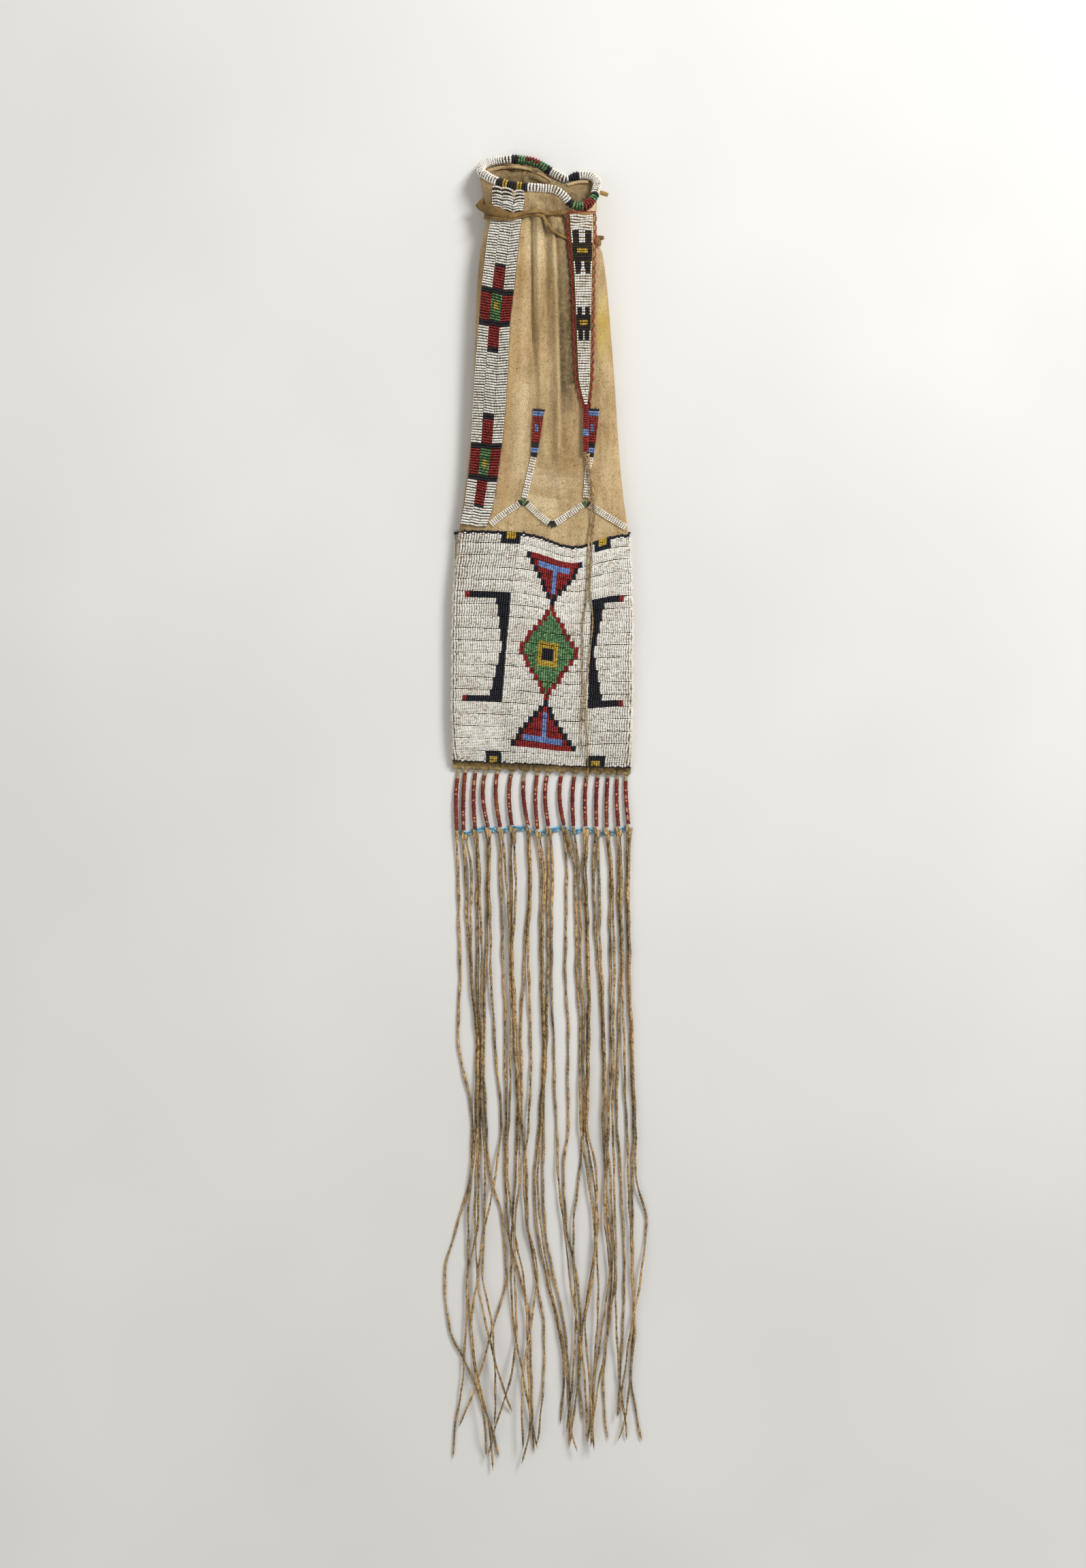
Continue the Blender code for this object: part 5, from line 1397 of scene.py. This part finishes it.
def makeTie():
    trees = treeOf(hidePouch, stripBeads)
    for name, (extra, points) in tie["strands"].items():
        rows = []
        for x, y, width, twist in points:
            base = max(topOf(trees, x + i, y + j) for i in (-2, 0, 2) for j in (-2, 0, 2))
            if base < 5 or name == "stub":
                base = tie["sideHeight"]
            rows.append((x, y, base + extra, width, twist))
        ribbon("tie_" + name, "tie_thong", rows, tieSuede, tie["thick"])
    print("tie strands:", len(tie["strands"]))


makeTie()


# drop

drop = {
    "edges": [(377.1, 22.2, 46.6), (360.0, 23.2, 46.9), (327.3, 26.1, 45.9), (291.0, 27.8, 45.2),
              (255.3, 29.1, 44.7), (231.3, 30.2, 44.2), (219.0, 33.0, 42.8), (209.5, 35.6, 41.8)],
    "top": 377.1, "seat": 0.4, "thick": 1.0, "pitch": 2.25, "bead": 1.36, "inset": 0.7, "margin": 2.1,
    # how far the beads stand off the tab, less at its sides, and the place above which they lie loosely
    "beadSeat": 0.75, "beadCrown": 0.25, "beadHigh": 1.9, "loose": 363,
    # section of the tab under the beads, in widths and thicknesses
    "section": ((0, 0), (1, 0), (1, 0.7), (0.9, 1), (0.5, 1.1), (0.1, 1), (0, 0.7)),
    # the red edging: its upper end, step and bead, and its scallops' length and depth
    "edgingTop": 376.5, "edgingLow": 206, "edgingStep": 1.45, "edgingBead": (1.8, 1.42, 1.8),
    "scallop": 7.8, "scallopDeep": 1.1,
    "tipTop": 209.0, "tipEnd": 167.0, "tipX": 38.7, "tipDiameter": 5.4, "tipAround": 10,
    "tipBlue": (181.5, 189.0), "tipBead": (1.75, 1.3, 1.5), "tipBeadDeep": 0.75, "tipCoreDeep": 1.2,
    # places of the figures on the tab: twin bars, full bar with a yellow middle, twin bars
    "twins": [(362.7, 351.9), (334.5, 324.9), (294.9, 287.1), (275.7, 266.1)],
    "full": [(350.7, 336.3, 345.9, 341.1), (287.1, 275.7, 282.9, 278.1)],
    "left": [(38.2, 166.4), (40.4, 150.9), (42.6, 132.3), (43.5, 114.3), (42.5, 101.7), (41.1, 88.5),
             (40.6, 72.9), (39.3, 42.3), (35.7, 11.7), (36.0, -26.7), (35.1, -57.3), (34.5, -80.1),
             (36.0, -101.0)],
    "right": [(40.6, 166.6), (42.9, 150.9), (45.1, 132.3), (46.2, 114.3), (45.2, 101.7), (43.8, 88.5),
              (43.4, 72.9), (42.3, 50.1), (44.7, 19.5), (42.6, -3.3), (40.5, -26.7), (38.6, -49.5),
              (39.6, -72.3), (40.2, -95.1), (40.5, -114.9), (36.6, -133.0)],
    # width, thickness and diameter of its thongs, and how far they stand off on the panel and beside it
    "thongSize": (2.1, 1.2, 1.8), "thong": {"ring": 1.3, "twist": 6.0, "flat": 2.0, "spread": 0.5},
    "thongLift": (1.5, 0.3),
}


def tabSides(y, inset=0.0):
    left, right = sidesAt(y, drop["edges"])
    return left + inset, right - inset


def tabColour(share, y):
    for top, low in drop["twins"]:
        if low < y < top:
            return navy if 0.10 < share < 0.39 or 0.61 < share < 0.90 else white
    for top, low, yTop, yLow in drop["full"]:
        if low <= y <= top:
            return yellow if yLow < y < yTop and 0.24 < share < 0.76 else navy
    return white


def makeTab():
    trees = treeOf(hidePouch, stripBeads, *[o for o in barPieces if o.name.startswith("right")],
                   *[bpy.data.objects["tie_" + name] for name in ("under", "wrap", "loose")])
    ys = np.arange(drop["top"], drop["tipTop"], -drop["pitch"])
    bases = []
    for y in ys:
        left, right = tabSides(y)
        bases.append(highest(trees, (left + right) / 2, y, (right - left) / 2, 1.6))
    bases = np.array(bases)
    # the stiff tab bridges the dips under it
    bridge(bases, 4)
    bridge(bases, 26, 0.05)

    def seatAt(y):
        return np.interp(-y, -ys, bases) + drop["seat"]

    rings = []
    for y in ys:
        left, right = tabSides(y, drop["inset"])
        width = right - left
        rings.append([(left + width * s, y, seatAt(y) + drop["thick"] * h) for s, h in drop["section"]])
    place(skin("dropBase", rings, tieSuede), "drop_tab")
    centres, colours = [], []
    for r, y in enumerate(ys[1:]):
        left, right = tabSides(y, drop["margin"])
        count = max(3, int(round((right - left) / drop["bead"])))
        bow = rng.normal(0, 0.15)
        for k in range(count):
            share = (k + 0.5) / count
            loose = 0.5 * math.sin(share * 7 + r) if y > drop["loose"] else 0.12 * math.sin(share * 5 + r)
            z = seatAt(y) + drop["thick"] + drop["beadSeat"] + drop["beadCrown"] * math.sin(math.pi * share)
            centres.append((left + (right - left) * share, y + bow * math.sin(math.pi * share) + loose, z))
            colours.append(tabColour(share, y))
    # red edging in small scallops
    inner = len(centres)
    edging = []
    for side in (0, 1):
        y = drop["edgingTop"]
        while y > drop["edgingLow"]:
            wave = abs(math.sin(math.pi * (drop["edgingTop"] - y) / drop["scallop"]))
            edging.append((tabSides(y)[side] + (drop["scallopDeep"] * wave - 0.3) * (1 if side else -1), y))
            y -= drop["edgingStep"]
    edging += [(x, 378.2) for x in np.arange(tabSides(377)[0] + 1, tabSides(377)[1], drop["edgingStep"])]
    centres += [(x, y, seatAt(y) + 1.0) for x, y in edging]
    colours += [red] * len(edging)
    total = len(centres)
    across, through, up, sizes = (np.tile(v, (total, 1)) for v in (
        (0.0, -1.0, 0.0), (1.0, 0.0, 0.0), (0.0, 0.0, 1.0),
        (drop["pitch"] * 0.85, drop["bead"] * 0.97, drop["beadHigh"])))
    across[inner:], through[inner:], sizes[inner:] = (1.0, 0.0, 0.0), (0.0, 1.0, 0.0), drop["edgingBead"]
    obj = stampBeads("dropBeads", centres, across, through, up, sizes, colours)
    place(obj, "drop_tab")
    print("drop:", total, "beads")
    return trees


def makeTip(trees):
    radius, around = drop["tipDiameter"] / 2, drop["tipAround"]
    spots = np.array([(drop["tipX"], y, highest(trees, drop["tipX"], y, radius, 3.0) + drop["seat"] + radius)
                      for y in np.arange(drop["tipTop"], drop["tipEnd"], -2.0)])
    bridge(spots[:, 2], 8, 0.02)
    low, high = drop["tipBlue"]
    centres, through, up, colours = [], [], [], []
    for i, spot in enumerate(spots):
        fat = 0.9 + 0.1 * math.sin(math.pi * i / (len(spots) - 1))
        for k in range(around):
            a = 2 * math.pi * (k + 0.3 * (i % 2)) / around
            radial = np.array([math.cos(a), 0, math.sin(a)])
            centres.append(spot + radial * (radius - drop["tipBeadDeep"]) * fat)
            up.append(radial)
            through.append(np.cross(radial, (0, 1.0, 0)))
            colours.append(blue if low < spot[1] < high else red)
    across = np.tile((0, 1.0, 0), (len(centres), 1))
    obj = stampBeads("tipBeads", centres, across, through, up, drop["tipBead"], colours)
    place(obj, "drop_tip")
    # the core under the beads is dark as painted shade between them
    core = radius - drop["tipCoreDeep"]
    rings = [[spot + np.array([c, 0, s]) * core for c, s in circle(8)] for spot in spots]
    place(skin("tipCore", rings, sinewAndShadeBacking), "drop_tip")


makeTip(makeTab())


# fringe band, slats and bead strings

band = {"thick": 2.0, "drop": 8.0, "hem": 0.7, "scallop": 3.3, "leftScallop": 1.2, "touch": 0.3,
        "pucker": 0.95,
        # section of the band, from its seam to its hem and back: share of the way and half thicknesses
        "section": ((0, 0.8), (0.25, 1), (0.5, 1.0), (0.75, 1), (1, 0.7), (1.0, -0.7), (0.66, -1),
                    (0.33, -1), (0, -0.8))}


def bandEdge(x):
    return levels[0] + bag["bottomSlope"] * x - band["touch"]


def slatTop(x):
    return bandEdge(x) - band["drop"] + band["hem"] - band["touch"]


def makeBand():
    tops = [s[0] for s in fringe["slats"]]
    edges = [tops[0] - 5.5] + [(a + b) / 2 for a, b in zip(tops, tops[1:])] + [tops[-1] + 4.5]
    xs = np.linspace(edges[0], edges[-1], 240)
    which = np.clip(np.searchsorted(edges, xs, "right") - 1, 0, len(tops) - 1)
    share = np.array([(x - edges[i]) / (edges[i + 1] - edges[i]) for x, i in zip(xs, which)])
    # the hem hangs low round each slat and is cut up between them, less so under the left end
    deep = np.where(xs < tops[4], band["leftScallop"], band["scallop"]) - band["hem"]
    deep = deep * (1 - np.sin(math.pi * np.clip(share, 0, 1)) ** 0.7)
    low = bandEdge(xs) - band["drop"] + band["hem"] + deep
    rows = []
    middle = slatHeight(0)
    for x, hem in zip(xs, low):
        top = bandEdge(x)
        ring = []
        for s, h in band["section"]:
            y = top + (hem - top) * s
            puff = noise.noise(Vector((x / 2.1, y / 2.8, 2.0)))
            puff = (puff + 0.6 * noise.noise(Vector((x / 8.0, y / 6.0, 6.0)))) * band["pucker"]
            ring.append((x, y, middle + band["thick"] / 2 * h + (puff if h > 0 else puff * 0.6)))
        rows.append(ring)
    obj = skin("bandHide", rows, bandSuede)
    # painted shade under the panel and in the hollows
    spots = spotsOf(obj)
    below = bandEdge(spots[:, 0]) - spots[:, 1]
    hollow = np.clip((middle + band["thick"] / 2 - spots[:, 2]) / 0.5, 0, 1)
    paintLayer(obj.data, "soil", np.clip(np.exp(-(below / 1.6) ** 2) + 0.9 * hollow, 0, 1))
    return place(obj, "fringe_band")


bandHide = makeBand()


def makeSlats():
    for number, (topX, endX, endY) in enumerate(fringe["slats"], 1):
        start = np.array([topX, slatTop(topX), slatHeight(0)])
        end = np.array([endX, endY, slatHeight(1)])
        wraps = int(np.linalg.norm(end - start) / fringe["wrap"])
        perWrap = fringe["wrapRings"]
        steps = wraps * perWrap
        bow = fringe["bows"][number - 1]
        rings = []
        for i in range(steps + 1):
            share = i / steps
            bulge = 0.86 if i % perWrap == 0 else 1.0
            swell = bulge * (0.86 + 0.14 * math.sin(math.pi * min(max(share, 0.02), 0.98)) ** 0.3)
            uneven = 1 + 0.07 * math.sin(i * 0.31 + number) + 0.05 * math.sin(i * 0.83)
            wide = fringe["quillWidth"] / 2 * swell * uneven
            # each wrap sits a little to one side of the last
            shift = 0.10 * math.sin(i // perWrap * 2.4 + number) - bow * math.sin(math.pi * share ** 0.85)
            middle = start + (end - start) * share + np.array([shift, 0, 0])
            rings.append([middle + np.array([wide * c, 0, wide * 0.9 * s]) for c, s in circle(10)])
        obj = skin(f"slat_{number:02d}", rings, dyedQuill, float(wraps))
        # each slat reads its own part of the wraps' colours
        for loop in obj.data.uv_layers[0].data:
            loop.uv.y += number * 61.0
        # the first wraps are pale
        bare = fringe["bareTops"].get(number, fringe["paleWraps"])
        obj.data.materials.append(paleQuillEnd)
        for poly in obj.data.polygons:
            if poly.center.y / mm > start[1] - bare:
                poly.material_index = 1
        place(obj, f"quill_slat_{number:02d}")
    print("slats:", len(fringe["slats"]))


makeSlats()


def makeStrings():
    # tube beads on two strings under the thongs
    waves = np.array(fringe["stringWaves"])
    xs = np.linspace(waves[0, 0], waves[-1, 0], 400)
    ys = smoothThrough(waves[:, 0], waves[:, 1])(xs)[:, 0]
    across, along, high = fringe["tube"]
    for name, shift in fringe["strings"].items():
        path = evenly(np.stack([xs, ys + shift, np.full(400, 0.4 + high / 2)], axis=1), along)[0]
        ahead, side, up = pathFrame(path)
        obj = stampBeads("string_" + name, path, side, ahead, up, fringe["tube"], np.zeros(len(path), int),
                         palette=[turquoiseGlass])
        place(obj, "blue_bead_string_" + name)
    print("bead strings:", len(fringe["strings"]))


makeStrings()


def makeDropThongs():
    laid = treeOf(hidePouch, frontBacking, bandHide, *barPieces)
    wide, thick, diameter = drop["thongSize"]
    for name in ("left", "right"):
        line = np.array(drop[name])
        down = np.linspace(-line[0, 1], -line[-1, 1], 160)
        xs = smoothThrough(-line[:, 1], line[:, 0])(down)[:, 0]
        z = np.array([highest(laid, x, -d, 1.2, 2.0) for x, d in zip(xs, down)])
        # the thongs lie on the beads of the panel here
        onBeads = (down > -95) & (down < 110)
        z = z + drop["seat"] + diameter / 2 + np.where(onBeads, *drop["thongLift"])
        bridge(z, 30)
        twistedCord("dropThong_" + name, "drop_thong_" + name, np.stack([xs, -down, z], axis=1), wide, thick,
                    drop["thong"])
    print("drop thongs laid")


makeDropThongs()


# table and lights

def makeStage():
    bm = bmesh.new()
    bmesh.ops.create_grid(bm, x_segments=1, y_segments=1, size=9.0)
    paleTable = mottledMaterial("paleTable", 0.8, 0.3, 3.0, 2.0,
                                [(0.3, (0.87, 0.865, 0.85)), (0.7, (0.90, 0.895, 0.88))])
    finishMesh("table", bm, paleTable)


lamps = {
    # place, size and power of each soft lamp, all aimed at the middle of the bag
    "key": ((1.25, 1.5, 1.7), (0.8, 0.8), 56.0),
    "fill": ((-1.4, -1.8, 2.2), (2.0, 2.0), 15.0),
    "aim": (0.0, -0.1, 0.0), "sky": 0.42, "skyColour": (1.0, 0.985, 0.96, 1.0),
}


def makeLights():
    for name in ("key", "fill"):
        spot, size, power = lamps[name]
        light = bpy.data.lights.new(name, "AREA")
        light.shape = "RECTANGLE"
        light.size, light.size_y = size
        light.energy = power
        obj = bpy.data.objects.new(name, light)
        obj.location = spot
        aim = Vector(lamps["aim"]) - Vector(spot)
        obj.rotation_euler = aim.to_track_quat("-Z", "Y").to_euler()
        scene.collection.objects.link(obj)
    world = bpy.data.worlds.new("studio")
    world.use_nodes = True
    background = world.node_tree.nodes["Background"]
    background.inputs["Color"].default_value = lamps["skyColour"]
    background.inputs["Strength"].default_value = lamps["sky"]
    scene.world = world


makeStage()
makeLights()
scene.view_settings.view_transform = "Standard"
